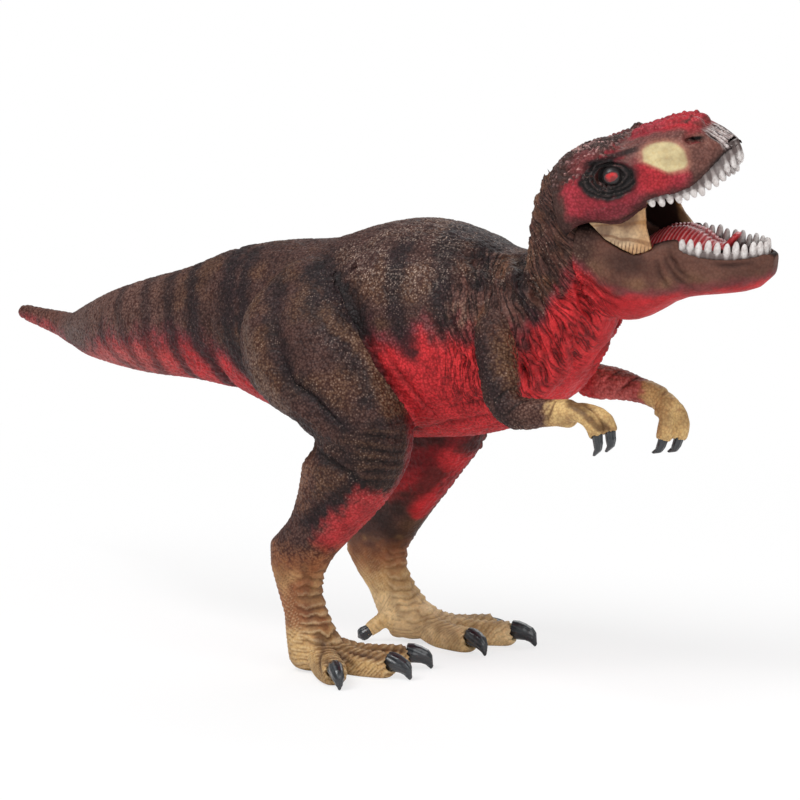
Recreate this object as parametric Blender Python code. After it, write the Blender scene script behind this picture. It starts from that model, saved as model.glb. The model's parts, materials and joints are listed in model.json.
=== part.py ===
"""Toy dinosaur figure: a walking, roaring tyrannosaur with a hinged lower jaw.

The figure is built the way a cast vinyl one is: trunk, tail, limbs and skull are separate
castings that plug together on round pegs, the lower jaw swings on a cross pin held in the
skull, and teeth, claws, eyes, tongue and cheek skins are their own small mouldings.

Metres, +Z up.  +X is forward, +Y is the figure's left.  Heights are from the ground.
"""
import math

import bmesh
import bpy
import numpy as np
from mathutils import Euler, Matrix, Vector

MM = 0.001

# Driving sizes of the trunk
HIP_HEIGHT = 80 * MM
BODY_LENGTH = 100 * MM
BODY_DEPTH = 50 * MM
BODY_WIDTH = 50 * MM

# Driving sizes of the tail
TAIL_LENGTH = 124 * MM
TAIL_SWEEP = 66 * MM
TAIL_DROP = 13 * MM

# Driving sizes of the head; its own frame has a forward and b up from the jaw's hinge
HEAD_LENGTH = 39 * MM
HEAD_DEPTH = 24 * MM
HEAD_WIDTH = 34 * MM
HEAD_PITCH = math.radians(20)
HEAD_TURN = math.radians(10)
HEAD_TILT = math.radians(8)
MOUTH_OPENING = math.radians(28)
JAW_LENGTH = 41 * MM
JAW_DEPTH = 15 * MM
JAW_INSET = 4 * MM
JAW_WIDTH = HEAD_WIDTH - 2 * JAW_INSET
PALATE_HEIGHT = 16 * MM
TONGUE_WIDTH = 10 * MM
TONGUE_THICKNESS = 3 * MM
TOOTH_LENGTH = 3.0 * MM
TOOTH_PITCH = 2.05 * MM
GUM_THICKNESS = 1.7 * MM
GUM_HEIGHT = 2.4 * MM
GUM_INSET = 2.6 * MM
CHEEK_SKIN_THICKNESS = 1.0 * MM
EYE_RADIUS = 2.5 * MM

# Driving sizes of the legs, feet and arms
HIP_INSET = 3 * MM
LEG_STANCE = BODY_WIDTH / 2 - HIP_INSET
LEG_REACH = 40 * MM
LEG_WIDTH = 24 * MM
FOOT_LENGTH = 26 * MM
TOE_HEIGHT = 7.4 * MM
TOE_WIDTH = 7.4 * MM
TOE_CLAW_LENGTH = 5.4 * MM
TOE_CLAW_RADIUS = 2.5 * MM
ARM_LENGTH = 40 * MM
ARM_THICKNESS = 15 * MM
FINGER_RADIUS = 2.1 * MM
FINGER_CLAW_LENGTH = 5.4 * MM
FINGER_CLAW_RADIUS = 1.5 * MM

# Pegs, pin and clearances
PIN_RADIUS = 1.5 * MM
PIN_LENGTH = 19 * MM
PIN_CLEARANCE = 0.3 * MM
HINGE_LUG_RADIUS = 4.2 * MM
HINGE_LUG_WIDTH = 9.6 * MM
EAR_RADIUS = 6.2 * MM
NECK_PEG_RADIUS = 4.2 * MM
NECK_PEG_LENGTH = 6 * MM
TAIL_PEG_RADIUS = 5 * MM
TAIL_PEG_LENGTH = 8 * MM
LEG_PEG_RADIUS = 4.5 * MM
ARM_PEG_RADIUS = 2.5 * MM
SEAM_GAP = 0.4 * MM
SEAT_GAP = 0.3 * MM
JAW_CLEARANCE = 0.45 * MM
OVERRUN = 2 * MM

# How finely the forms are laid out
BODY_SIDES = 24
LIMB_SIDES = 14
SMALL_SIDES = 10
CLAW_SIDES = 8

# Finishes: name, colour (linear), roughness
SKIN_BROWN = ("skin_brown_vinyl", (0.075, 0.045, 0.032), 0.6)
LIMB_TAN = ("limb_tan_vinyl", (0.38, 0.24, 0.10), 0.6)
JAW_OLIVE = ("jaw_olive_vinyl", (0.10, 0.07, 0.04), 0.6)
CLAW_SLATE = ("claw_gloss_slate", (0.03, 0.033, 0.038), 0.2)
TOOTH_WHITE = ("tooth_gloss_white", (0.70, 0.70, 0.66), 0.35)
TONGUE_RED = ("tongue_gloss_red", (0.42, 0.03, 0.04), 0.3)
SKIN_OCHRE = ("cheek_ochre_vinyl", (0.50, 0.33, 0.16), 0.45)
EYE_GLOSS = ("eye_gloss_red", (0.25, 0.01, 0.01), 0.1)
PIN_GREY = ("pin_grey_nylon", (0.25, 0.25, 0.25), 0.4)


# Scene, collections and materials
def clear_scene():
    for old in list(bpy.data.objects):
        bpy.data.objects.remove(old, do_unlink=True)


def new_collection(name):
    collection = bpy.data.collections.new(name)
    bpy.context.scene.collection.children.link(collection)
    return collection


def material(finish):
    name, colour, roughness = finish
    made = bpy.data.materials.get(name)
    if made is None:
        made = bpy.data.materials.new(name)
        made.use_nodes = True
        shader = made.node_tree.nodes["Principled BSDF"]
        shader.inputs["Base Color"].default_value = (*colour, 1)
        shader.inputs["Roughness"].default_value = roughness
        made.diffuse_color = (*colour, 1)
    return made


clear_scene()
FIGURE = new_collection("toy_dinosaur")
CUTTERS = new_collection("cutters")


def empty(name, place, parent=None, turn=(0.0, 0.0, 0.0)):
    frame = bpy.data.objects.new(name, None)
    frame.location = place
    frame.rotation_euler = turn
    frame.parent = parent
    FIGURE.objects.link(frame)
    return frame


# Every piece is parented to the stand, which is moved last so that the origin is under the figure
STAND = empty("stand", (0, 0, 0))


def add_object(name, mesh, finish, parent, smooth_angle=math.radians(50)):
    made = bpy.data.objects.new(name, mesh)
    made.parent = parent
    if finish is None:
        CUTTERS.objects.link(made)
        made.hide_render = True
        made.display_type = "WIRE"
    else:
        FIGURE.objects.link(made)
        made.data.materials.append(material(finish))
        mesh.shade_smooth()
        mesh.set_sharp_from_angle(angle=smooth_angle)
    return made


def mesh_from(shape, name):
    """A mesh from a bmesh whose faces are made to point outwards."""
    bmesh.ops.recalc_face_normals(shape, faces=shape.faces)
    mesh = bpy.data.meshes.new(name)
    shape.to_mesh(mesh)
    shape.free()
    return mesh


# Sections and lofts
def smooth_rows(rows, count):
    """Rows of numbers resampled on a smooth curve, evenly along the first three columns' path."""
    rows = np.array(rows, dtype=float)
    steps = np.linalg.norm(np.diff(rows[:, :3], axis=0), axis=1)
    along = np.concatenate([[0.0], np.cumsum(steps)])
    slopes = np.gradient(rows, along, axis=0)
    made = []
    for s in np.linspace(0.0, along[-1], count):
        i = min(int(np.searchsorted(along, s, side="right")) - 1, len(along) - 2)
        span = along[i + 1] - along[i]
        u = (s - along[i]) / span
        made.append((2 * u**3 - 3 * u**2 + 1) * rows[i] + (u**3 - 2 * u**2 + u) * span * slopes[i]
                    + (3 * u**2 - 2 * u**3) * rows[i + 1] + (u**3 - u**2) * span * slopes[i + 1])
    return np.array(made)


def ring_points(row, sides):
    """One section: centre, half-height and half-width vectors, squareness above and below."""
    centre, up, side = row[0:3], row[3:6], row[6:9]
    points = []
    for k in range(sides):
        turn = math.tau * k / sides
        c, s = math.cos(turn), math.sin(turn)
        power = row[9] if c > 0 else row[10]
        cc = math.copysign(abs(c) ** (2 / power), c)
        ss = math.copysign(abs(s) ** (2 / power), s)
        points.append(Vector(centre + cc * up + ss * side))
    return points


def dome_rows(row, outward, depth, steps=3):
    """Sections that close an end as a dome, with the pole last."""
    rows = []
    for k in range(1, steps):
        turn = math.pi / 2 * k / steps
        shrunk = row.copy()
        shrunk[0:3] += outward * depth * math.sin(turn)
        shrunk[3:9] *= math.cos(turn)
        rows.append(shrunk)
    return rows, Vector(row[0:3] + outward * depth)


def loft(name, sections, finish, parent, sides=LIMB_SIDES, rings=16, start_dome=0.0, end_dome=0.0):
    """A closed body through sections of (centre, half-height, half-width, squareness); 2 is an ellipse."""
    rows = [np.concatenate([np.array(c), np.array(u), np.array(w), np.broadcast_to(p, 2)])
            for c, u, w, p in sections]
    rows = list(smooth_rows(rows, rings))
    first_pole = last_pole = None
    if end_dome:
        away = rows[-1][0:3] - rows[-2][0:3]
        extra, last_pole = dome_rows(rows[-1], away / np.linalg.norm(away), end_dome)
        rows = rows + extra
    if start_dome:
        away = rows[0][0:3] - rows[1][0:3]
        extra, first_pole = dome_rows(rows[0], away / np.linalg.norm(away), start_dome)
        rows = extra[::-1] + rows
    shape = bmesh.new()
    loops = [[shape.verts.new(p) for p in ring_points(row, sides)] for row in rows]
    for low, high in zip(loops, loops[1:]):
        for k in range(sides):
            n = (k + 1) % sides
            shape.faces.new((low[k], low[n], high[n], high[k]))
    for loop, pole in ((loops[0], first_pole), (loops[-1], last_pole)):
        if pole is None:
            shape.faces.new(loop)
        else:
            tip = shape.verts.new(pole)
            for k in range(sides):
                shape.faces.new((loop[k], loop[(k + 1) % sides], tip))
    return add_object(name, mesh_from(shape, name), finish, parent)


def tube_sections(path, up_hint=Vector((0, 0, 1))):
    """Sections square to a path of (point, half-height, half-width, squareness)."""
    sections = []
    points = [Vector(p) for p, _, _, _ in path]
    for i, (_, high, wide, power) in enumerate(path):
        along = (points[min(i + 1, len(points) - 1)] - points[max(i - 1, 0)]).normalized()
        side = along.cross(up_hint).normalized()
        up = side.cross(along).normalized()
        sections.append((points[i], up * high, side * wide, power))
    return sections


def limb(name, path, finish, parent, up_hint=Vector((0, 0, 1)), **layout):
    return loft(name, tube_sections(path, up_hint), finish, parent, **layout)


def peg(name, start, end, radius, finish, parent, segments=LIMB_SIDES):
    """A round bar between two points."""
    start, end = Vector(start), Vector(end)
    span = end - start
    shape = bmesh.new()
    bmesh.ops.create_cone(shape, cap_ends=True, segments=segments, radius1=radius, radius2=radius,
                          depth=span.length)
    turn = span.to_track_quat("Z", "Y").to_matrix().to_4x4()
    bmesh.ops.transform(shape, matrix=Matrix.Translation((start + end) / 2) @ turn, verts=shape.verts)
    return add_object(name, mesh_from(shape, name), finish, parent)


def ball(name, centre, radii, finish, parent, turn=Matrix.Identity(4), segments=10):
    """An ellipsoid."""
    shape = bmesh.new()
    bmesh.ops.create_uvsphere(shape, u_segments=segments, v_segments=segments // 2 + 1, radius=1)
    place = Matrix.Translation(Vector(centre)) @ turn @ Matrix.Diagonal((*radii, 1))
    bmesh.ops.transform(shape, matrix=place, verts=shape.verts)
    return add_object(name, mesh_from(shape, name), finish, parent)


def block(name, low, high, finish, parent):
    shape = bmesh.new()
    bmesh.ops.create_cube(shape, size=1)
    low, high = Vector(low), Vector(high)
    place = Matrix.Translation((low + high) / 2) @ Matrix.Diagonal((*(high - low), 1))
    bmesh.ops.transform(shape, matrix=place, verts=shape.verts)
    return add_object(name, mesh_from(shape, name), finish, parent)


# Joining and cutting
def boolean(target, other, operation, folded=False):
    modifier = target.modifiers.new(operation.lower() + "_" + other.name, "BOOLEAN")
    modifier.operation = operation
    modifier.object = other
    modifier.use_self = folded


def cut(target, *cutters):
    for cutter in cutters:
        boolean(target, cutter, "DIFFERENCE")


def fuse(target, *others):
    for other in others:
        boolean(target, other, "UNION")


def grown(source, gap):
    """A cutter: the source's present outer form, grown by a gap all round."""
    bpy.context.view_layer.update()
    seen = source.evaluated_get(bpy.context.evaluated_depsgraph_get())
    shape = bmesh.new()
    shape.from_mesh(seen.data)
    bmesh.ops.triangulate(shape, faces=shape.faces)
    made = add_object(source.name + "_grown", mesh_from(shape, source.name + "_grown"), None, source.parent)
    displace = made.modifiers.new("grow", "DISPLACE")
    displace.mid_level = 0.0
    displace.strength = gap
    return made


# The head's frame
def body_point(x_share, z_share, y=0.0):
    return Vector((x_share * BODY_LENGTH, y, HIP_HEIGHT + z_share * BODY_DEPTH))


# The head is raised, turned a little to the figure's left and tilted; the hinge is its cross axis
HINGE = body_point(0.78, 0.555)
HEAD_EULER = Euler((HEAD_TILT, -HEAD_PITCH, HEAD_TURN), "XYZ")
HEAD = empty("head_frame", HINGE, STAND, HEAD_EULER)
JAW = empty("jaw_hinge", (0, 0, 0), HEAD, (0, MOUTH_OPENING, 0))
NECK_SEAM_SHARE = -0.13


def head_to_world(point):
    return HINGE + HEAD_EULER.to_matrix() @ Vector(point)


# Skull outline: length share, lower and upper edge as shares of the depth, half-width share
SKULL_SQUARENESS = (2.4, 3.4)
skull_shares = [
    (-0.130, 0.057, 0.868, 0.420),
    (0.020, 0.190, 0.950, 0.475),
    (0.120, 0.167, 0.945, 0.498),
    (0.200, 0.100, 0.920, 0.500),
    (0.275, 0.096, 0.912, 0.497),
    (0.350, 0.144, 0.908, 0.478),
    (0.440, 0.162, 0.904, 0.440),
    (0.513, 0.168, 0.900, 0.412),
    (0.600, 0.134, 0.898, 0.370),
    (0.700, 0.150, 0.880, 0.335),
    (0.770, 0.207, 0.853, 0.306),
    (0.840, 0.290, 0.765, 0.262),
    (0.905, 0.374, 0.655, 0.200),
    (0.965, 0.440, 0.535, 0.112),
    (0.993, 0.450, 0.495, 0.055),
]


def upright_section(length, low, high, half_width, power):
    """A section square to the head's or jaw's length."""
    return ((length, 0, (low + high) / 2), (0, 0, (high - low) / 2), (0, half_width, 0), power)


def skull_section(row):
    a, low, high, wide = row
    return upright_section(a * HEAD_LENGTH, low * HEAD_DEPTH, high * HEAD_DEPTH, wide * HEAD_WIDTH,
                           SKULL_SQUARENESS)


def skull_at(share, column):
    """The skull's outline value at a share of its length."""
    return float(np.interp(share, [row[0] for row in skull_shares], [row[column] for row in skull_shares]))


# Mouth roof: length share, height share of the palate, half-width share
mouth_roof_shares = [
    (-0.20, 0.66, 0.394),
    (0.00, 0.78, 0.394),
    (0.12, 0.92, 0.394),
    (0.27, 1.02, 0.388),
    (0.41, 1.04, 0.359),
    (0.56, 0.97, 0.300),
    (0.70, 0.84, 0.245),
    (0.80, 0.82, 0.198),
    (0.88, 0.82, 0.135),
    (0.94, 0.79, 0.075),
]


def make_mouth_roof():
    """The hollow between the cheeks, open below, that the jaw closes into."""
    below = -JAW_DEPTH
    sections = [upright_section(a * HEAD_LENGTH, below, high * PALATE_HEIGHT, wide * HEAD_WIDTH, 4)
                for a, high, wide in mouth_roof_shares]
    return loft("mouth_roof", sections, None, HEAD, sides=24, rings=10)


# Lower jaw outline: length share, underside and lip as shares of the depth, half-width share
JAW_SQUARENESS = (3.2, 2.4)
jaw_shares = [
    (-0.130, -0.667, 0.400, 0.470),
    (-0.047, -1.020, 0.530, 0.492),
    (0.047, -1.165, 0.485, 0.496),
    (0.140, -1.210, 0.350, 0.496),
    (0.245, -1.145, 0.260, 0.496),
    (0.350, -0.985, 0.390, 0.484),
    (0.453, -0.755, 0.460, 0.458),
    (0.547, -0.620, 0.310, 0.425),
    (0.650, -0.550, 0.250, 0.382),
    (0.790, -0.455, 0.257, 0.310),
    (0.895, -0.360, 0.287, 0.225),
    (0.951, -0.250, 0.320, 0.160),
    (0.990, -0.100, 0.240, 0.080),
]

# Mouth floor: length share, height share of the floor, half-width share
mouth_floor_shares = [
    (0.14, -0.27, 0.350),
    (0.256, -0.36, 0.380),
    (0.42, -0.22, 0.352),
    (0.56, -0.17, 0.305),
    (0.70, -0.13, 0.245),
    (0.81, -0.06, 0.180),
    (0.90, 0.06, 0.095),
]


def jaw_at(share, column):
    return float(np.interp(share, [row[0] for row in jaw_shares], [row[column] for row in jaw_shares]))


def jaw_section(row):
    a, low, high, wide = row
    return upright_section(a * JAW_LENGTH, low * JAW_DEPTH, high * JAW_DEPTH, wide * JAW_WIDTH,
                           JAW_SQUARENESS)


def make_jaw_body():
    return loft("lower_jaw", [jaw_section(row) for row in jaw_shares], JAW_OLIVE, JAW,
                sides=BODY_SIDES, rings=16)


def make_mouth_floor():
    above = JAW_DEPTH
    sections = [upright_section(a * JAW_LENGTH, low * JAW_DEPTH, above, wide * JAW_WIDTH, 4)
                for a, low, wide in mouth_floor_shares]
    return loft("mouth_floor", sections, None, JAW, sides=LIMB_SIDES, rings=10)


# Trunk outline: back point and belly point as shares of length and depth, half-width share, squareness
trunk_shares = [
    ((-0.300, 0.403), (-0.270, -0.316), 0.310, 2.1),
    ((-0.150, 0.455), (-0.140, -0.400), 0.385, 2.1),
    ((0.000, 0.480), (0.000, -0.465), 0.440, 2.1),
    ((0.140, 0.568), (0.140, -0.490), 0.475, 2.1),
    ((0.280, 0.608), (0.280, -0.465), 0.500, 2.1),
    ((0.410, 0.550), (0.430, -0.430), 0.495, 2.1),
    ((0.530, 0.472), (0.575, -0.330), 0.450, 2.1),
    ((0.628, 0.545), (0.690, -0.140), 0.400, 2.1),
    ((0.612, 0.670), (0.750, 0.030), 0.355, 2.1),
    ((0.604, 0.810), (0.795, 0.150), 0.325, 2.2),
]


def trunk_section(row):
    (top_x, top_z), (low_x, low_z), wide, power = row
    top, low = body_point(top_x, top_z), body_point(low_x, low_z)
    return ((top + low) / 2, (top - low) / 2, (0, wide * BODY_WIDTH, 0), power)


def neck_end_section():
    """The neck's flat end, which carries the skull's whole rear face and reaches below it."""
    length = NECK_SEAM_SHARE * HEAD_LENGTH - SEAM_GAP
    top = head_to_world((length, 0, skull_at(NECK_SEAM_SHARE, 2) * HEAD_DEPTH))
    low = head_to_world((length, 0, -JAW_DEPTH * 0.62))
    wide = skull_at(NECK_SEAM_SHARE, 3) * HEAD_WIDTH
    across = HEAD_EULER.to_matrix() @ Vector((0, wide, 0))
    return ((top + low) / 2, (top - low) / 2, across, (2.0, 2.4))


def make_trunk():
    sections = [trunk_section(row) for row in trunk_shares] + [neck_end_section()]
    return loft("trunk", sections, SKIN_BROWN, STAND, sides=BODY_SIDES, rings=22)


# Tail centre line: share of length, share of sweep, share of drop, half-height and half-width shares
tail_shares = [
    (0.121, 0.023, 0.18, 0.290, 0.262),
    (0.242, 0.060, 0.33, 0.250, 0.225),
    (0.371, 0.167, 0.50, 0.205, 0.185),
    (0.512, 0.333, 0.72, 0.150, 0.142),
    (0.626, 0.515, 0.88, 0.110, 0.108),
    (0.715, 0.667, 1.00, 0.088, 0.088),
    (0.782, 0.788, 1.07, 0.080, 0.078),
    (0.840, 0.879, 1.09, 0.072, 0.070),
    (0.925, 0.950, 1.05, 0.058, 0.054),
    (1.000, 0.992, 0.98, 0.044, 0.042),
]


def tail_root():
    """The flat seam that the tail shares with the trunk: centre, half-height and outward direction."""
    centre, up, side, power = trunk_section(trunk_shares[0])
    outward = Vector((-up.z, 0, up.x)).normalized()
    return centre, up, Vector(side), power, outward


def make_tail():
    centre, up, side, power, outward = tail_root()
    start = centre + outward * SEAM_GAP
    path = []
    for length, sweep, drop, high, wide in tail_shares:
        point = centre + Vector((-length * TAIL_LENGTH, sweep * TAIL_SWEEP, -drop * TAIL_DROP))
        path.append((point, high * BODY_DEPTH, wide * BODY_DEPTH, power))
    sections = tube_sections([(start, up.length, side.length, power)] + path)
    sections[0] = (start, up, side, power)
    return loft("tail", sections, SKIN_BROWN, STAND, sides=20, rings=24, end_dome=BODY_DEPTH * 0.04)


LEG_SQUARENESS = 2.4
# Leg outlines, from the hip down: front and rear points as shares of reach and hip height,
# place across as a share of the stance, half-width share
right_leg_shares = [
    ((0.52, 1.190), (-0.20, 1.190), -0.66, 0.34),
    ((0.60, 1.090), (-0.30, 1.110), -0.84, 0.47),
    ((0.71, 0.975), (-0.31, 0.990), -0.96, 0.50),
    ((0.82, 0.860), (-0.16, 0.850), -1.01, 0.49),
    ((0.88, 0.750), (0.21, 0.745), -1.02, 0.45),
    ((0.85, 0.655), (0.18, 0.650), -1.04, 0.40),
    ((0.71, 0.550), (0.13, 0.555), -1.02, 0.35),
    ((0.50, 0.445), (0.04, 0.460), -1.00, 0.29),
    ((0.30, 0.350), (-0.11, 0.390), -0.98, 0.25),
    ((0.21, 0.275), (-0.10, 0.294), -0.96, 0.215),
    ((0.22, 0.200), (-0.03, 0.194), -0.93, 0.205),
    ((0.29, 0.125), (-0.015, 0.100), -0.91, 0.23),
    ((0.35, 0.060), (0.01, 0.025), -0.89, 0.27),
]

left_leg_shares = [
    ((0.42, 1.190), (-0.28, 1.190), 0.66, 0.34),
    ((0.49, 1.090), (-0.38, 1.110), 0.84, 0.47),
    ((0.57, 0.975), (-0.39, 0.990), 0.95, 0.50),
    ((0.66, 0.860), (-0.25, 0.850), 0.98, 0.49),
    ((0.72, 0.755), (0.04, 0.745), 0.99, 0.45),
    ((0.68, 0.662), (0.06, 0.655), 1.00, 0.40),
    ((0.54, 0.575), (0.00, 0.550), 1.02, 0.35),
    ((0.37, 0.475), (-0.15, 0.450), 1.04, 0.30),
    ((0.19, 0.369), (-0.31, 0.345), 1.07, 0.26),
    ((0.08, 0.294), (-0.34, 0.280), 1.09, 0.235),
    ((0.08, 0.215), (-0.23, 0.190), 1.11, 0.215),
    ((0.19, 0.135), (-0.07, 0.094), 1.13, 0.23),
    ((0.31, 0.065), (0.00, 0.031), 1.14, 0.27),
]

# Toes: name, place of the claw end as shares of foot length (forward, to the figure's left)
right_toe_shares = [
    ("outer", 0.57, -0.54),
    ("middle", 0.78, 0.05),
    ("inner", 0.68, 0.50),
]
left_toe_shares = [
    ("inner", 0.76, -0.22),
    ("middle", 0.90, 0.32),
    ("outer", 0.52, 0.60),
]
right_rear_toe_shares = (-0.30, 0.28)
left_rear_toe_shares = (-0.40, -0.28)


def leg_section(row):
    (front_x, front_z), (rear_x, rear_z), across, wide = row
    y = across * LEG_STANCE
    front = Vector((front_x * LEG_REACH, y, front_z * HIP_HEIGHT))
    rear = Vector((rear_x * LEG_REACH, y, rear_z * HIP_HEIGHT))
    return ((front + rear) / 2, (front - rear) / 2, (0, wide * LEG_WIDTH, 0), LEG_SQUARENESS)


def foot_centre(rows):
    """The point on the ground under the end of the leg."""
    centre = leg_section(rows[-1])[0]
    return Vector((centre.x, centre.y, 0))


def toe_path(start, end):
    """A toe from inside the instep, along the ground, to the claw."""
    reach = end - start
    half = TOE_HEIGHT / 2
    rows = []
    for share, lift, high, wide in ((-0.05, 1.10, 0.90, 0.95), (0.22, 0.60, 1.00, 1.00),
                                    (0.50, 0.40, 0.96, 1.00), (0.78, 0.38, 0.92, 0.98),
                                    (0.96, 0.40, 0.88, 0.88)):
        point = start + reach * share
        point.z = lift * TOE_HEIGHT
        rows.append((point, high * half, wide * TOE_WIDTH / 2, 2.5))
    return rows


def claw_path(root, forward, length, radius, drop_share=0.62):
    """A claw that leaves its root forward and hooks down to a point."""
    rows = []
    for share, fall, size in ((-0.30, -0.10, 0.90), (0.05, 0.0, 1.0), (0.40, 0.14, 0.82),
                              (0.72, 0.46, 0.52), (0.95, 0.92, 0.20)):
        point = root + forward * share * length
        point.z -= fall * drop_share * length
        rows.append((point, size * radius, size * radius * 0.82, 2.0))
    return rows


def make_foot(side, leg, rows, toes, rear):
    """Toes joined to the leg, the sole cut flat, and claws seated in the toes."""
    centre = foot_centre(rows)
    forms, claws = [], []
    for name, forward, across in toes:
        end = centre + Vector((forward, across, 0)) * FOOT_LENGTH
        toe = limb(side + "_" + name + "_toe", toe_path(centre, end), None, STAND,
                   sides=SMALL_SIDES, rings=8, end_dome=TOE_WIDTH * 0.28)
        heading = (end - centre).normalized()
        root = end + heading * TOE_WIDTH * 0.16
        root.z = TOE_HEIGHT * 0.54
        claws.append(limb(side + "_" + name + "_toe_claw",
                          claw_path(root, heading, TOE_CLAW_LENGTH, TOE_CLAW_RADIUS),
                          CLAW_SLATE, STAND, sides=CLAW_SIDES, rings=6,
                          end_dome=TOE_CLAW_RADIUS * 0.2))
        forms.append(toe)
    heading = Vector((*rear, 0))
    top = centre + Vector((rear[0] * 0.1, rear[1] * 0.2, 0)) * FOOT_LENGTH + Vector((0, 0, TOE_HEIGHT * 1.65))
    end = centre + heading * FOOT_LENGTH + Vector((0, 0, TOE_HEIGHT * 0.62))
    middle = (top + end) / 2 + heading * TOE_WIDTH * 0.1
    slim = TOE_WIDTH * 0.30
    forms.append(limb(side + "_rear_toe", [(top, slim, slim, 2), (middle, slim, slim, 2),
                                           (end, slim * 0.9, slim * 0.9, 2)], None, STAND,
                      up_hint=Vector((1, 0, 0)), sides=CLAW_SIDES, rings=5, end_dome=slim * 0.6))
    down = (end - top).normalized()
    root = end + down * slim * 0.2
    tip = root + down * TOE_CLAW_LENGTH * 0.42
    claws.append(limb(side + "_rear_toe_claw",
                      [(root - down * slim * 0.8, slim * 0.62, slim * 0.62, 2),
                       (root + down * slim * 0.4, slim * 0.72, slim * 0.72, 2),
                       (tip, slim * 0.15, slim * 0.15, 2)], CLAW_SLATE, STAND,
                      up_hint=Vector((1, 0, 0)), sides=CLAW_SIDES, rings=5,
                      end_dome=TOE_CLAW_RADIUS * 0.1))
    fuse(leg, *forms)
    cut(leg, *[grown(claw, SEAT_GAP) for claw in claws])
    reach = FOOT_LENGTH * 2
    floor = block(side + "_floor", centre - Vector((reach, reach, TOE_HEIGHT)),
                  centre + Vector((reach, reach, 0)), None, STAND)
    cut(leg, floor)
    return claws


def make_leg(side, rows, toes, rear, trunk_form, trunk):
    leg = loft(side + "_leg", [leg_section(row) for row in rows], LIMB_TAN, STAND,
               sides=LIMB_SIDES, rings=20, start_dome=LEG_WIDTH * 0.3, end_dome=TOE_HEIGHT * 0.5)
    make_foot(side, leg, rows, toes, rear)
    cut(leg, trunk_form)
    sign = 1 if rows[0][2] > 0 else -1
    hip = leg_section(rows[2])[0]
    inner = Vector((hip.x, sign * BODY_WIDTH * 0.20, hip.z))
    outer = Vector((hip.x, sign * LEG_STANCE * 1.1, hip.z))
    fuse(leg, peg(side + "_hip_peg", inner, outer, LEG_PEG_RADIUS, None, STAND))
    across = Vector((0, sign * SEAT_GAP, 0))
    cut(trunk, peg(side + "_hip_socket", inner - across, outer + across,
                   LEG_PEG_RADIUS + SEAT_GAP, None, STAND))
    return leg


# Arm centre lines, shoulder to wrist, as shares of arm length from the shoulder, and thickness shares
right_arm_shares = [
    (0.04, 0.00, 0.10, 0.33),
    (0.075, -0.05, -0.025, 0.34),
    (0.14, -0.10, -0.175, 0.335),
    (0.19, -0.14, -0.300, 0.31),
    (0.265, -0.16, -0.375, 0.27),
    (0.40, -0.17, -0.375, 0.25),
    (0.55, -0.17, -0.358, 0.21),
    (0.66, -0.165, -0.355, 0.23),
]
left_arm_shares = [
    (-0.05, 0.00, 0.10, 0.33),
    (-0.07, 0.04, -0.05, 0.34),
    (-0.07, 0.08, -0.22, 0.33),
    (0.00, 0.10, -0.335, 0.30),
    (0.195, 0.10, -0.350, 0.27),
    (0.37, 0.10, -0.378, 0.21),
    (0.530, 0.09, -0.425, 0.20),
    (0.590, 0.08, -0.475, 0.21),
]
SHOULDER_SHARE = (0.57, 0.08)
# Fingers: name, sideways start share, then bends as shares of arm length from the wrist
right_finger_shares = [
    ("outer", -0.045, ((0.10, 0.01), (0.185, -0.04), (0.215, -0.10))),
    ("inner", 0.045, ((0.115, 0.01), (0.215, -0.025), (0.245, -0.085))),
]
left_finger_shares = [
    ("inner", -0.045, ((0.01, -0.03), (0.005, -0.09), (-0.01, -0.17))),
    ("outer", 0.045, ((0.04, -0.02), (0.06, -0.08), (0.045, -0.17))),
]
right_claw_way_share = (0.20, -1.0)
left_claw_way_share = (-0.30, -0.95)


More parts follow.
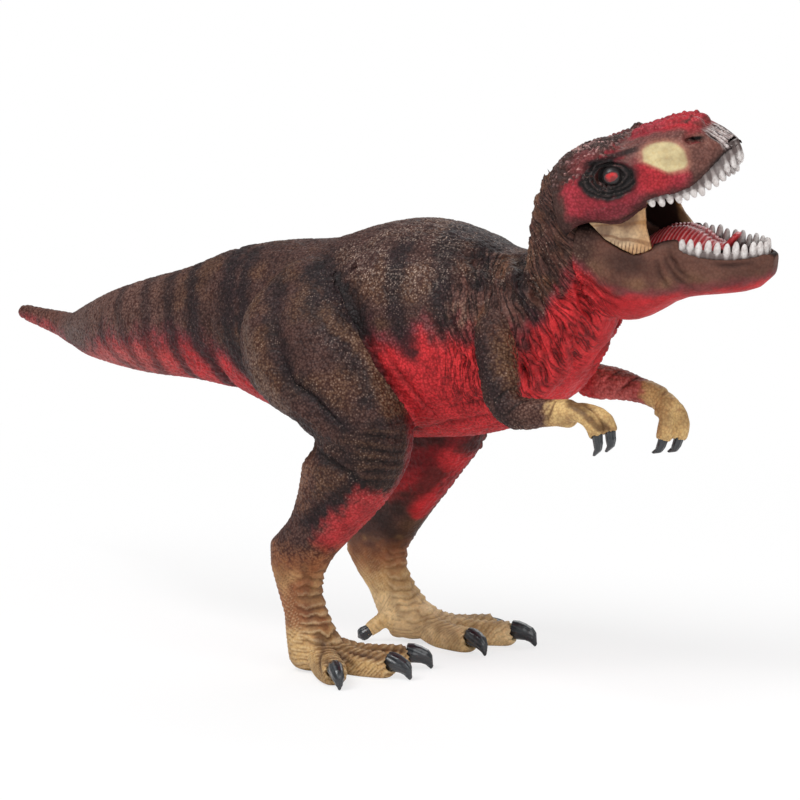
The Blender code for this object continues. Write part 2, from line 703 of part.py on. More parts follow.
def make_arm(side, sign, rows, fingers, claw_way, trunk_form, trunk):
    shoulder = body_point(*SHOULDER_SHARE) + Vector((0, sign * BODY_WIDTH * 0.40, 0))
    path = []
    for forward, across, up, thick in rows:
        point = shoulder + Vector((forward, across, up)) * ARM_LENGTH
        path.append((point, thick * ARM_THICKNESS, thick * ARM_THICKNESS * 0.92, 2.1))
    arm = limb(side + "_arm", path, LIMB_TAN, STAND, up_hint=Vector((1, 0, 1)), sides=LIMB_SIDES,
               rings=12, start_dome=ARM_THICKNESS * 0.3, end_dome=ARM_THICKNESS * 0.14)
    wrist = path[-1][0]
    claws = []
    for name, across, bends in fingers:
        start = wrist + Vector((-FINGER_RADIUS, across * ARM_LENGTH * 0.7, 0))
        points = [start] + [wrist + Vector((x, across, z)) * ARM_LENGTH for x, z in bends]
        finger = limb(side + "_" + name + "_finger",
                      [(p, FINGER_RADIUS, FINGER_RADIUS, 2) for p in points], None, STAND,
                      up_hint=Vector((0, 1, 0)), sides=CLAW_SIDES, rings=7,
                      end_dome=FINGER_RADIUS * 0.6)
        fuse(arm, finger)
        end = points[-1]
        way = Vector((claw_way[0], 0, claw_way[1])).normalized()
        back = Vector((claw_way[1], 0, -claw_way[0])).normalized() * FINGER_CLAW_RADIUS
        root = end - way * FINGER_CLAW_RADIUS
        claw_rows = [(root, FINGER_CLAW_RADIUS * 0.9, FINGER_CLAW_RADIUS * 0.8, 2),
                     (end + way * FINGER_CLAW_LENGTH * 0.3, FINGER_CLAW_RADIUS, FINGER_CLAW_RADIUS * 0.8, 2),
                     (end + way * FINGER_CLAW_LENGTH * 0.65 + back * 0.25, FINGER_CLAW_RADIUS * 0.6,
                      FINGER_CLAW_RADIUS * 0.5, 2),
                     (end + way * FINGER_CLAW_LENGTH * 0.95 + back * 1.0, FINGER_CLAW_RADIUS * 0.2,
                      FINGER_CLAW_RADIUS * 0.2, 2)]
        claws.append(limb(side + "_" + name + "_finger_claw", claw_rows, CLAW_SLATE, STAND,
                          up_hint=Vector((0, 1, 0)), sides=6, rings=5, end_dome=FINGER_CLAW_RADIUS * 0.15))
    cut(arm, *[grown(claw, SEAT_GAP) for claw in claws])
    cut(arm, trunk_form)
    height = path[0][0].z - ARM_THICKNESS * 0.1
    inner = Vector((path[0][0].x, sign * BODY_WIDTH * 0.24, height))
    outer = Vector((path[0][0].x, sign * BODY_WIDTH * 0.46, height))
    fuse(arm, peg(side + "_shoulder_peg", inner, outer, ARM_PEG_RADIUS, None, STAND, 12))
    across = Vector((0, sign * SEAT_GAP, 0))
    cut(trunk, peg(side + "_shoulder_socket", inner - across, outer + across,
                   ARM_PEG_RADIUS + SEAT_GAP, None, STAND, 12))
    return arm


# Gum lines, rear to front: length share, height share of the tooth roots, tooth size factor
upper_gum_shares = [
    (0.430, 0.268, 0.35),
    (0.500, 0.262, 0.62),
    (0.600, 0.238, 0.68),
    (0.700, 0.238, 0.75),
    (0.760, 0.270, 0.95),
    (0.830, 0.325, 1.20),
    (0.900, 0.385, 1.20),
    (0.945, 0.425, 1.00),
]
lower_gum_shares = [
    (0.475, 0.280, 0.40),
    (0.530, 0.220, 0.75),
    (0.600, 0.160, 1.10),
    (0.700, 0.140, 1.25),
    (0.780, 0.170, 1.15),
    (0.850, 0.210, 1.05),
    (0.895, 0.240, 1.00),
]
GUM_CORNER_SHARES = (0.28, 0.60, 0.45)
# A tooth from its root: share of its length, share of its root's size
tooth_form_shares = [(0.55, 0.80), (1.00, 0.42)]


def gum_path(rows, outline_at, width, length, depth):
    """Root line of a row of teeth, from the right rear round the front to the left rear."""
    half = []
    for a, root, tooth in rows:
        half.append((a * length, GUM_INSET - outline_at(a, 3) * width, root * depth, tooth))
    x, y, z, tooth = half[-1]
    corner, narrow, front = GUM_CORNER_SHARES
    half.append((x - y * corner, y * narrow, z, tooth))
    mirrored = [(x, -y, z, tooth) for x, y, z, tooth in reversed(half)]
    return half + [(x - y * front, 0, z, tooth)] + mirrored


def tooth_stations(path):
    """Points a tooth's width apart along the root line, with the way across the row at each."""
    dense = smooth_rows(path, 240)
    steps = np.concatenate([[0.0], np.cumsum(np.linalg.norm(np.diff(dense[:, :3], axis=0), axis=1))])
    count = round(steps[-1] / TOOTH_PITCH)
    stations = []
    for s in np.linspace(0, steps[-1], count + 1):
        x, y, z, size = [float(np.interp(s, steps, dense[:, i])) for i in range(4)]
        i = min(max(int(np.searchsorted(steps, s)), 1), len(steps) - 2)
        ahead = dense[i + 1] - dense[i - 1]
        across = Vector((-ahead[1], ahead[0], 0)).normalized()
        stations.append((Vector((x, y, z)), across, size))
    return stations


def make_tooth_row(name, path, direction, parent):
    """A gum strip that carries a row of blunt teeth, pointing up (1) or down (-1)."""
    stations = tooth_stations(path)
    shape, plain = bmesh.new(), bmesh.new()
    rings, plain_rings = [], []
    for point, across, _ in stations:
        half = across * GUM_THICKNESS / 2
        depth = Vector((0, 0, -direction * GUM_HEIGHT))
        corners = [point - half, point + half, point + half + depth, point - half + depth]
        rings.append([shape.verts.new(corner) for corner in corners])
        room = across * (GUM_THICKNESS / 2 + SEAT_GAP)
        over = Vector((0, 0, direction * OVERRUN))
        deep = Vector((0, 0, -direction * (GUM_HEIGHT + SEAT_GAP)))
        corners = [point - room + over, point + room + over, point + room + deep, point - room + deep]
        plain_rings.append([plain.verts.new(corner) for corner in corners])
    for made, form in ((rings, shape), (plain_rings, plain)):
        form.faces.new(made[0])
        form.faces.new(made[-1])
        for low, high in zip(made, made[1:]):
            for k in (1, 2, 3):
                form.faces.new((low[k], low[(k + 1) % 4], high[(k + 1) % 4], high[k]))
    for low, high in zip(plain_rings, plain_rings[1:]):
        plain.faces.new((low[0], low[1], high[1], high[0]))
    for k in range(len(rings) - 1):
        base = [rings[k][0], rings[k][1], rings[k + 1][1], rings[k + 1][0]]
        middle = sum((vert.co for vert in base), Vector()) / 4
        size = (stations[k][2] + stations[k + 1][2]) / 2
        tall = TOOTH_LENGTH * size * (1 + 0.10 * math.sin(k * 2.4))
        foot = [vert.co.copy() for vert in base]
        for rise, narrow in tooth_form_shares:
            lift = Vector((0, 0, direction * rise * tall))
            ring = [shape.verts.new(middle + (corner - middle) * narrow + lift) for corner in foot]
            for n in range(4):
                shape.faces.new((base[n], base[(n + 1) % 4], ring[(n + 1) % 4], ring[n]))
            base = ring
        shape.faces.new(base)
    add_object(name, mesh_from(shape, name), TOOTH_WHITE, parent, smooth_angle=math.radians(35))
    return add_object(name + "_groove", mesh_from(plain, name + "_groove"), None, parent)


# Cheek skin outline in the jaw's frame, as shares of jaw length and depth
right_cheek_shares = [
    (-0.05, 0.42), (0.05, 0.20), (0.145, 0.09), (0.222, 0.02), (0.288, 0.08), (0.325, 0.16),
    (0.28, 0.47), (0.262, 0.76), (0.28, 0.98), (0.19, 0.92), (0.08, 0.76), (-0.03, 0.62),
]
left_cheek_shares = [
    (-0.05, 0.42), (0.05, 0.20), (0.145, 0.09), (0.222, 0.02), (0.30, 0.08), (0.38, 0.18), (0.41, 0.32),
    (0.35, 0.47), (0.29, 0.70), (0.27, 0.94), (0.19, 0.90), (0.08, 0.76), (-0.03, 0.62),
]


def cheek_plate(name, sign, outline, gap, finish):
    """A thin plate between jaw and cheek, leaning inwards towards its front and top."""
    middle = np.mean(np.array(outline) * (JAW_LENGTH, JAW_DEPTH), axis=0)
    inner, outer = [], []
    shape = bmesh.new()
    for a, b in outline:
        lean = (0.62 * a + 0.075 * b) * JAW_WIDTH
        across = JAW_WIDTH * 0.455 - lean * 0.22
        place = np.array((a * JAW_LENGTH, b * JAW_DEPTH))
        away = place - middle
        x, z = place + away / np.linalg.norm(away) * gap * 1.3
        inner.append(shape.verts.new((x, sign * (across - CHEEK_SKIN_THICKNESS - gap), z)))
        outer.append(shape.verts.new((x, sign * (across + gap), z)))
    shape.faces.new(inner)
    shape.faces.new(outer)
    count = len(outline)
    for k in range(count):
        n = (k + 1) % count
        shape.faces.new((inner[k], inner[n], outer[n], outer[k]))
    bmesh.ops.triangulate(shape, faces=shape.faces)
    return add_object(name, mesh_from(shape, name), finish, JAW)


# Tongue centre line: length share, height share, then half-thickness and half-width shares
tongue_shares = [
    (0.17, -0.13, 0.42, 0.40),
    (0.283, 0.15, 0.58, 0.48),
    (0.36, 0.29, 0.60, 0.50),
    (0.42, 0.35, 0.58, 0.48),
    (0.53, 0.33, 0.52, 0.44),
    (0.63, 0.21, 0.40, 0.38),
    (0.69, 0.22, 0.30, 0.30),
    (0.745, 0.42, 0.25, 0.22),
]
EYE_SHARE = (0.274, 0.470, 0.650)
NOSTRIL_SHARE = (0.80, 0.268, 0.69)
NOSTRIL_SIZE = (1.6 * MM, 1.2 * MM, 1.0 * MM)


def make_head():
    jaw = make_jaw_body()
    jaw_form = grown(jaw, JAW_CLEARANCE)
    skull = loft("skull", [skull_section(row) for row in skull_shares], SKIN_BROWN, HEAD,
                 sides=BODY_SIDES, rings=19)
    for sign in (1, -1):
        brow = ball("brow", (0.24 * HEAD_LENGTH, sign * 0.335 * HEAD_WIDTH, 0.80 * HEAD_DEPTH),
                    (0.21 * HEAD_LENGTH, 0.11 * HEAD_WIDTH, 0.10 * HEAD_DEPTH), None, HEAD,
                    Matrix.Rotation(math.radians(7), 4, "Y"))
        fuse(skull, brow)
    cut(skull, make_mouth_roof())
    lug = block("hinge_lug", (-HINGE_LUG_RADIUS, -HINGE_LUG_WIDTH / 2, 0),
                (HINGE_LUG_RADIUS, HINGE_LUG_WIDTH / 2, PALATE_HEIGHT * 1.1), None, HEAD)
    round_lug = peg("hinge_lug_end", (0, -HINGE_LUG_WIDTH / 2, 0), (0, HINGE_LUG_WIDTH / 2, 0),
                    HINGE_LUG_RADIUS, None, HEAD)
    fuse(skull, lug, round_lug)
    bore = PIN_RADIUS + PIN_CLEARANCE
    cut(skull, peg("lug_bore", (0, -HINGE_LUG_WIDTH, 0), (0, HINGE_LUG_WIDTH, 0), bore, None, HEAD))

    cut(jaw, make_mouth_floor())
    half_slot = HINGE_LUG_WIDTH / 2 + JAW_CLEARANCE
    slot_reach = HINGE_LUG_RADIUS + JAW_CLEARANCE * 2
    cut(jaw, peg("lug_slot_round", (0, -half_slot, 0), (0, half_slot, 0), slot_reach, None, JAW),
        block("lug_slot", (-JAW_LENGTH * 0.3, -half_slot, 0), (JAW_LENGTH * 0.2, half_slot, JAW_DEPTH),
              None, JAW))
    socket = PIN_LENGTH / 2 + PIN_CLEARANCE
    cut(jaw, peg("ear_sockets", (0, -socket, 0), (0, socket, 0), bore, None, JAW))
    peg("jaw_pin", (0, -PIN_LENGTH / 2, 0), (0, PIN_LENGTH / 2, 0), PIN_RADIUS, PIN_GREY, HEAD)

    upper = gum_path(upper_gum_shares, skull_at, HEAD_WIDTH, HEAD_LENGTH, HEAD_DEPTH)
    cut(skull, make_tooth_row("upper_teeth", upper, -1, HEAD))
    lower = gum_path(lower_gum_shares, jaw_at, JAW_WIDTH, JAW_LENGTH, JAW_DEPTH)
    cut(jaw, make_tooth_row("lower_teeth", lower, 1, JAW))
    path = []
    for a, b, high, wide in tongue_shares:
        path.append(((a * JAW_LENGTH, 0, b * JAW_DEPTH), high * TONGUE_THICKNESS, wide * TONGUE_WIDTH, 2.3))
    limb("tongue", path, TONGUE_RED, JAW, sides=SMALL_SIDES, rings=9,
         start_dome=TONGUE_THICKNESS * 0.3, end_dome=TONGUE_THICKNESS * 0.3)
    for side, sign, outline in (("left", 1, left_cheek_shares), ("right", -1, right_cheek_shares)):
        cheek_plate(side + "_cheek_skin", sign, outline, 0, SKIN_OCHRE)
        slot = cheek_plate(side + "_cheek_slot", sign, outline, SEAT_GAP, None)
        boolean(jaw, slot, "DIFFERENCE", folded=True)
        a, y, b = EYE_SHARE
        eye_at = Vector((a * HEAD_LENGTH, sign * y * HEAD_WIDTH, b * HEAD_DEPTH))
        dimple = ball(side + "_eye_dimple", eye_at + Vector((0, sign * EYE_RADIUS * 0.9, 0)),
                      (EYE_RADIUS * 2.0, EYE_RADIUS * 1.0, EYE_RADIUS * 1.5), None, HEAD)
        eye = ball(side + "_eye", eye_at, (EYE_RADIUS,) * 3, EYE_GLOSS, HEAD)
        cut(skull, dimple, grown(eye, SEAT_GAP))
        a, y, b = NOSTRIL_SHARE
        nostril = ball(side + "_nostril", (a * HEAD_LENGTH, sign * y * HEAD_WIDTH, b * HEAD_DEPTH),
                       NOSTRIL_SIZE, None, HEAD, segments=8)
        cut(skull, nostril)
    start = NECK_SEAM_SHARE * HEAD_LENGTH
    height = HEAD_DEPTH * 0.70
    fuse(skull, peg("neck_peg", (start - NECK_PEG_LENGTH, 0, height), (start + SEAM_GAP, 0, height),
                    NECK_PEG_RADIUS, None, HEAD))
    socket = peg("neck_socket", (start - NECK_PEG_LENGTH - SEAT_GAP, 0, height), (start + OVERRUN, 0, height),
                 NECK_PEG_RADIUS + SEAT_GAP, None, HEAD)
    ears = peg("ear_room", (0, -HEAD_WIDTH, 0), (0, HEAD_WIDTH, 0), EAR_RADIUS + JAW_CLEARANCE, None, HEAD)
    return jaw_form, socket, ears


def centre_under_figure():
    """Moves the stand so that the origin is on the ground, under the middle of the figure."""
    bpy.context.view_layer.update()
    depsgraph = bpy.context.evaluated_depsgraph_get()
    low, high = Vector((1, 1, 1)), Vector((-1, -1, -1))
    for made in FIGURE.objects:
        if made.type != "MESH":
            continue
        seen = made.evaluated_get(depsgraph)
        for corner in seen.bound_box:
            point = made.matrix_world @ Vector(corner)
            low = Vector(map(min, low, point))
            high = Vector(map(max, high, point))
    STAND.location = (-(low.x + high.x) / 2, -(low.y + high.y) / 2, -low.z)


def main():
    jaw_form, neck_socket, ears = make_head()
    trunk = make_trunk()
    trunk_form = grown(trunk, SEAM_GAP)
    make_leg("right", right_leg_shares, right_toe_shares, right_rear_toe_shares, trunk_form, trunk)
    make_leg("left", left_leg_shares, left_toe_shares, left_rear_toe_shares, trunk_form, trunk)
    make_arm("right", -1, right_arm_shares, right_finger_shares, right_claw_way_share, trunk_form, trunk)
    make_arm("left", 1, left_arm_shares, left_finger_shares, left_claw_way_share, trunk_form, trunk)
    cut(trunk, jaw_form, neck_socket, ears)
    tail = make_tail()
    centre, _, _, _, outward = tail_root()
    fuse(tail, peg("tail_peg", centre - outward * TAIL_PEG_LENGTH, centre + outward * OVERRUN,
                   TAIL_PEG_RADIUS, None, STAND))
    cut(trunk, peg("tail_socket", centre - outward * (TAIL_PEG_LENGTH + SEAT_GAP),
                   centre + outward * OVERRUN, TAIL_PEG_RADIUS + SEAT_GAP, None, STAND))
    centre_under_figure()


main()
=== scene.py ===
# %% [markdown]
# # A toy tyrannosaur in painted vinyl
# The object is a solid PVC figure, about 27 cm long: a walking, roaring tyrannosaur whose lower
# jaw swings on a hidden pin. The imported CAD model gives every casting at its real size. It is
# faceted and bare, so this lesson grows a sculpted, pebbled and hand-painted skin on each casting.
#
# Everything stays in metres in the CAD's own frame: +X is the way the figure walks, +Y is its
# left, and the ground is at zero.

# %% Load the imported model
import itertools
import json
import math

import bmesh
import bpy
import numpy as np
from mathutils import Euler, Matrix, Vector
from mathutils.bvhtree import BVHTree

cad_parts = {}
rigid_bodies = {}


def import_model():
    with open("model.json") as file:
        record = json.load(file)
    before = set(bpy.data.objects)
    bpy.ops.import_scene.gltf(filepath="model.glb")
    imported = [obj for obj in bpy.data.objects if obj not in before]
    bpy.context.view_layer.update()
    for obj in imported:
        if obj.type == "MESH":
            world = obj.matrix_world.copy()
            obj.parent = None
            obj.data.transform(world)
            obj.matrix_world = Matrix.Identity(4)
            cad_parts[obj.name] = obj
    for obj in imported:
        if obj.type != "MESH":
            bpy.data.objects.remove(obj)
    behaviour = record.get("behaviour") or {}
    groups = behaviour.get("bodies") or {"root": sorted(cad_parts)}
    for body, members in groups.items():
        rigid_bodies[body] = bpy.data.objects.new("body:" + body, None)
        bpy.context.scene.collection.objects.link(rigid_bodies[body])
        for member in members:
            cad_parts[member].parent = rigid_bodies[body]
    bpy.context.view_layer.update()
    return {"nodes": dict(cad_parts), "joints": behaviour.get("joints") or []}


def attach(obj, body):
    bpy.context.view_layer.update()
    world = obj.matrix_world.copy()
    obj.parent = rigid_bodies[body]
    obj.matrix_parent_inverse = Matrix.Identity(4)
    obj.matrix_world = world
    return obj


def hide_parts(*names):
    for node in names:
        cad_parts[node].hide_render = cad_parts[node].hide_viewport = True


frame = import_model()
MM = 0.001
print("castings in the model:", len(frame["nodes"]))

# %% [markdown]
# ## Colours and nodes
# Paint shops name their colours in sRGB, as hex codes, but Blender mixes light in linear values.
# One function does the change, so a code can be read off a paint chart and typed here.
# A second small function adds a shader node with its settings and links in one line.

# %% Colour and node helpers
def linear(code):
    """An sRGB hex code as linear red, green, blue and alpha."""
    parts = [int(code[i:i + 2], 16) / 255 for i in (1, 3, 5)]
    return (*[p / 12.92 if p <= 0.04045 else ((p + 0.055) / 1.055) ** 2.4 for p in parts], 1.0)


def add_node(tree, kind, sockets=None, **settings):
    """Adds a node; a socket given another node's output is linked, and any other value is set."""
    made = tree.nodes.new(kind)
    for name, value in settings.items():
        setattr(made, name, value)
    for name, value in (sockets or {}).items():
        if isinstance(value, bpy.types.NodeSocket):
            tree.links.new(value, made.inputs[name])
        else:
            made.inputs[name].default_value = value
    return made


# %% [markdown]
# ## Camera
# The photograph looks down a little on the figure's right side, from a long way off, as a
# catalogue picture does. A long lens keeps that flat perspective.

# %% Camera
CAMERA_PLACE = Vector((0.6361, -0.8990, 0.2099))
CAMERA_AIM = Vector((0.0347, -0.0145, 0.0650))
LENS_MM = 199

camera = bpy.data.objects.new("camera", bpy.data.cameras.new("camera"))
bpy.context.scene.collection.objects.link(camera)
camera.location = CAMERA_PLACE
camera.rotation_euler = (CAMERA_AIM - CAMERA_PLACE).to_track_quat("-Z", "Y").to_euler()
camera.data.lens = LENS_MM
camera.data.clip_end = 20
bpy.context.scene.camera = camera
print("camera to figure, m:", round((CAMERA_AIM - CAMERA_PLACE).length, 3))

# %% [markdown]
# ## From casting to clay
# A sculptor would block the figure out and then smooth and carve it. Here the CAD casting is the
# block: a copy is merged, remeshed into even little squares and smoothed, which melts the facets.
# The square size is chosen so that the skin keeps its folds but stays under 200,000 triangles.

# %% Copy, remesh and smooth a casting
COARSER = 1.0
MERGE_MM = 0.02


def only(piece):
    bpy.ops.object.select_all(action="DESELECT")
    piece.select_set(True)
    bpy.context.view_layer.objects.active = piece


def shape_with(piece, kind, **settings):
    """Adds a modifier with its settings and applies it."""
    only(piece)
    modifier = piece.modifiers.new(kind.lower(), kind)
    for name, value in settings.items():
        setattr(modifier, name, value)
    bpy.ops.object.modifier_apply(modifier=modifier.name)


def clay_copy(node, name, square, rounds):
    """A CAD casting's copy, merged, remeshed at a square size in mm and smoothed."""
    piece = bpy.data.objects.new(name, frame["nodes"][node].data.copy())
    bpy.context.scene.collection.objects.link(piece)
    piece.data.materials.clear()
    only(piece)
    bpy.ops.object.mode_set(mode="EDIT")
    bpy.ops.mesh.select_all(action="SELECT")
    bpy.ops.mesh.remove_doubles(threshold=MERGE_MM * MM)
    bpy.ops.object.mode_set(mode="OBJECT")
    shape_with(piece, "REMESH", mode="VOXEL", voxel_size=square * COARSER * MM)
    shape_with(piece, "SMOOTH", factor=0.5, iterations=round(rounds / COARSER**2))
    return piece


# Casting, square size in mm, smoothing rounds
CLAY = {
    "trunk": (0.50, 40), "tail": (0.50, 40), "skull": (0.34, 14), "lower_jaw": (0.34, 14),
    "right_leg": (0.42, 26), "left_leg": (0.42, 26), "right_arm": (0.32, 14), "left_arm": (0.32, 14),
}
clay = {node: clay_copy(node, node + "_skin", *how) for node, how in CLAY.items()}
for node, piece in clay.items():
    print(node, "squares:", len(piece.data.polygons))

# %% [markdown]
# ## Reading and writing points
# Carving and painting both work on all of a mesh's points at once. numpy arrays in millimetres
# keep that quick and keep the numbers readable.

# %% Points, distances and soft masks
def points_of(piece):
    flat = np.empty(len(piece.data.vertices) * 3, np.float32)
    piece.data.vertices.foreach_get("co", flat)
    return flat.reshape(-1, 3).astype(float) / MM


def normals_of(piece):
    flat = np.empty(len(piece.data.vertices) * 3, np.float32)
    piece.data.vertices.foreach_get("normal", flat)
    return flat.reshape(-1, 3).astype(float)


def set_points(piece, points):
    piece.data.vertices.foreach_set("co", (points * MM).astype(np.float32).ravel())
    piece.data.update()


def soft(values, low, high):
    """0 below low, 1 above high and a smooth step between; low may be the larger one."""
    t = np.clip((values - low) / (high - low), 0.0, 1.0)
    return t * t * (3 - 2 * t)


def distance_to(points, line):
    """Distance from each point to a line of points, and the share along the line where it is least."""
    line = np.array(line, float)
    best = np.full(len(points), 1e9)
    along = np.zeros(len(points))
    steps = max(len(line) - 1, 1)
    for i in range(steps):
        start, end = line[i], line[min(i + 1, len(line) - 1)]
        way = end - start
        t = np.clip((points - start) @ way / max(way @ way, 1e-9), 0.0, 1.0)
        gap = np.linalg.norm(points - start - t[:, None] * way, axis=1)
        nearer = gap < best
        best[nearer] = gap[nearer]
        along[nearer] = (i + t[nearer]) / steps
    return best, along


def mottle(points, size, seed=0):
    """Soft random blotches of about a size in mm, from 0 to 1, the same in each run."""
    cell = points / size + 1000.0
    base = np.floor(cell).astype(np.int64)
    part = cell - base
    part = part * part * (3 - 2 * part)
    total = np.zeros(len(points))
    for corner in itertools.product((0, 1), repeat=3):
        key = base + corner
        mixed = (key[:, 0] * 73856093) ^ (key[:, 1] * 19349663) ^ (key[:, 2] * 83492791) ^ (seed * 2654435761)
        mixed = (mixed * 1103515245 + 12345) & 0x7FFFFFFF
        mixed = ((mixed >> 7) ^ mixed) * 48271 & 0x7FFFFFFF
        weight = np.prod(np.where(corner, part, 1 - part), axis=1)
        total += weight * (mixed % 10007) / 10007
    return total


# %% [markdown]
# ## The head's own frame
# The head is pitched up, turned and tilted, so its carving and paint are laid out in its own
# frame: the first number runs forward from the jaw's hinge, the second to the left and the third
# up. The jaw hangs open from the same hinge.

# %% Head and jaw frames
HINGE = Vector(frame["joints"][0]["pos_m"]) / MM
HEAD_TURNS = Euler((math.radians(8), math.radians(-20), math.radians(10)), "XYZ")
MOUTH_OPEN = math.radians(28)
HEAD = Matrix.Translation(HINGE) @ HEAD_TURNS.to_matrix().to_4x4()
JAW = HEAD @ Matrix.Rotation(MOUTH_OPEN, 4, "Y")
print("jaw hinge, mm:", [round(value, 1) for value in HINGE])


def turned(points, place):
    """Points, or directions for a 3x3 matrix, carried by a frame."""
    matrix = np.array(place)
    return points @ matrix[:3, :3].T + (matrix[:3, 3] if len(matrix) == 4 else 0)


def within(points, place):
    """World points in mm seen from a frame."""
    return turned(points, place.inverted())


# %% [markdown]
# ## Clay added behind the jaw
# The casting of the neck is leaner than the head. On the figure a thick jaw muscle runs from the
# cheek down into the neck, so a pad of clay is pressed on the casting at each side, just behind
# the jaw, before the pieces are smoothed together.

# %% Jaw muscle pads
PAD_PLACE, PAD_RADII = Vector((-8.0, 8.6, -1.0)), (6.0, 4.0, 9.0)
PAD_ROUNDS = 12


def add_pads():
    trunk = clay["trunk"]
    pads = []
    for side in (-1, 1):
        bpy.ops.mesh.primitive_uv_sphere_add(segments=32, ring_count=20, radius=MM)
        pad = bpy.context.object
        place = JAW @ Matrix.Translation((PAD_PLACE.x, side * PAD_PLACE.y, PAD_PLACE.z))
        shift = Matrix.Translation(place.translation * MM) @ place.to_3x3().to_4x4()
        pad.data.transform(shift @ Matrix.Diagonal((*PAD_RADII, 1.0)))
        pads.append(pad)
    only(trunk)
    for pad in pads:
        pad.select_set(True)
    bpy.ops.object.join()
    shape_with(trunk, "REMESH", mode="VOXEL", voxel_size=CLAY["trunk"][0] * COARSER * MM)
    shape_with(trunk, "SMOOTH", factor=0.5, iterations=round(PAD_ROUNDS / COARSER**2))
    print("trunk with its pads, squares:", len(trunk.data.polygons))


add_pads()

# %% [markdown]
# ## Pressing the castings together
# The real castings meet in seams that paint and sculpting hide. All the castings are joined into
# one lump of clay and smoothed, so that the steps between them melt into soft valleys. The trunk's
# skin is cut from that lump and runs on a little way under its neighbours, and near a seam each
# neighbour's skin moves onto the lump, so nothing shows through between them.

# %% One smooth lump of all the castings
LUMP_SQUARE, LUMP_ROUNDS = 0.52, 42


def outside(tree, point):
    """Distance outside a block, negative inside it."""
    near, normal, _, gap = tree.find_nearest(point)
    return gap if (point - near).dot(normal) >= 0 else -gap


def tree_of(piece):
    faces = [tuple(face.vertices) for face in piece.data.polygons]
    return BVHTree.FromPolygons(points_of(piece).tolist(), faces)


blocks = {node: tree_of(piece) for node, piece in clay.items()}
bpy.ops.object.select_all(action="DESELECT")
copies = [bpy.data.objects.new("lump", piece.data.copy()) for piece in clay.values()]
for copy in copies:
    bpy.context.scene.collection.objects.link(copy)
    copy.select_set(True)
lump_piece = bpy.context.view_layer.objects.active = copies[0]
bpy.ops.object.join()
shape_with(lump_piece, "REMESH", mode="VOXEL", voxel_size=LUMP_SQUARE * COARSER * MM)
shape_with(lump_piece, "SMOOTH", factor=0.5, iterations=round(LUMP_ROUNDS / COARSER**2))
lump = tree_of(lump_piece)
print("squares in the lump:", len(lump_piece.data.polygons))

# %% Cut the trunk's skin from the lump
UNDERLAP = 6.0
COVER_REACH = 8.0
FAR = 99.0
# So many mm past the seam, the skin dips under its neighbour by so many mm
DIP = {0.8: 0.0, 2.5: 0.25, 4.0: 1.0, UNDERLAP: 2.5}


def cut_trunk():
    """Keeps the lump near the trunk's casting, with an edge that dips under its neighbours."""
    points, normals = points_of(lump_piece), normals_of(lump_piece)
    past = np.full(len(points), FAR)
    for i, place in enumerate(points.tolist()):
        point = Vector(place)
        if blocks["trunk"].find_nearest(point, COVER_REACH)[0] is None:
            continue
        mine = outside(blocks["trunk"], point)
        theirs = [outside(blocks[node], point) for node in clay
                  if node != "trunk" and blocks[node].find_nearest(point, COVER_REACH)[0] is not None]
        past[i] = mine - min(theirs, default=FAR)
    dip = np.interp(past, list(DIP), list(DIP.values()))
    set_points(lump_piece, points - normals * dip[:, None])
    shape = bmesh.new()
    shape.from_mesh(lump_piece.data)
    shape.verts.ensure_lookup_table()
    bmesh.ops.delete(shape, geom=[shape.verts[i] for i in np.flatnonzero(past > UNDERLAP)], context="VERTS")
    left, parts = set(shape.verts), []
    while left:
        grown, edge = set(), [next(iter(left))]
        while edge:
            vert = edge.pop()
            if vert in left:
                left.discard(vert)
                grown.add(vert)
                edge.extend(side.other_vert(vert) for side in vert.link_edges)
        parts.append(grown)
    largest = max(parts, key=len)
    bmesh.ops.delete(shape, geom=[vert for vert in shape.verts if vert not in largest], context="VERTS")
    bmesh.ops.holes_fill(shape, edges=[edge for edge in shape.edges if edge.is_boundary], sides=0)
    bmesh.ops.triangulate(shape, faces=[face for face in shape.faces if len(face.verts) > 4])
    skin = bpy.data.meshes.new("trunk_skin")
    shape.to_mesh(skin)
    clay["trunk"].data = skin
    print("squares on the trunk:", len(skin.polygons))


cut_trunk()
bpy.data.objects.remove(lump_piece)

# %% Move the other skins onto the lump near their seams
SEAM_DIP = 0.2
DEEPEST = 4.6


def flow_together(node, others, reach):
    """Moves a skin's points that lie within reach mm of a neighbour onto the smooth lump."""
    piece = clay[node]
    points, normals = points_of(piece), normals_of(piece)
    for i, start in enumerate(points.tolist()):
        point = Vector(start)
        found = [blocks[other].find_nearest(point, reach)[3] for other in others]
        if not any(gap is not None for gap in found):
            continue
        theirs = min(outside(blocks[other], point) for other, gap in zip(others, found) if gap is not None)
        near, normal, _, depth = lump.find_nearest(point)
        if near is None or depth > DEEPEST or normal.dot(normals[i]) < 0.1:
            continue
        mine = outside(blocks[node], near)
        over = min(outside(blocks[other], near) for other, gap in zip(others, found) if gap is not None)
        share = min(max((reach - abs(theirs)) / (0.6 * reach), 0.0), 1.0)
        share *= min(max((DEEPEST - depth) / (0.4 * DEEPEST), 0.0), 1.0)
        past = min(max(mine - over, 0.0), 1.0)
        points[i] = point.lerp(near - normal * (SEAM_DIP * past), share)
    set_points(piece, points)


JOINTS_OF_CLAY = {
    "tail": (("trunk", "right_leg", "left_leg"), 7.0), "skull": (("trunk",), 7.0),
    "right_leg": (("trunk", "tail"), 8.0), "left_leg": (("trunk", "tail"), 8.0),
    "right_arm": (("trunk",), 8.0), "left_arm": (("trunk",), 8.0), "lower_jaw": (("trunk",), 6.0),
}
for node, (others, reach) in JOINTS_OF_CLAY.items():
    flow_together(node, others, reach)

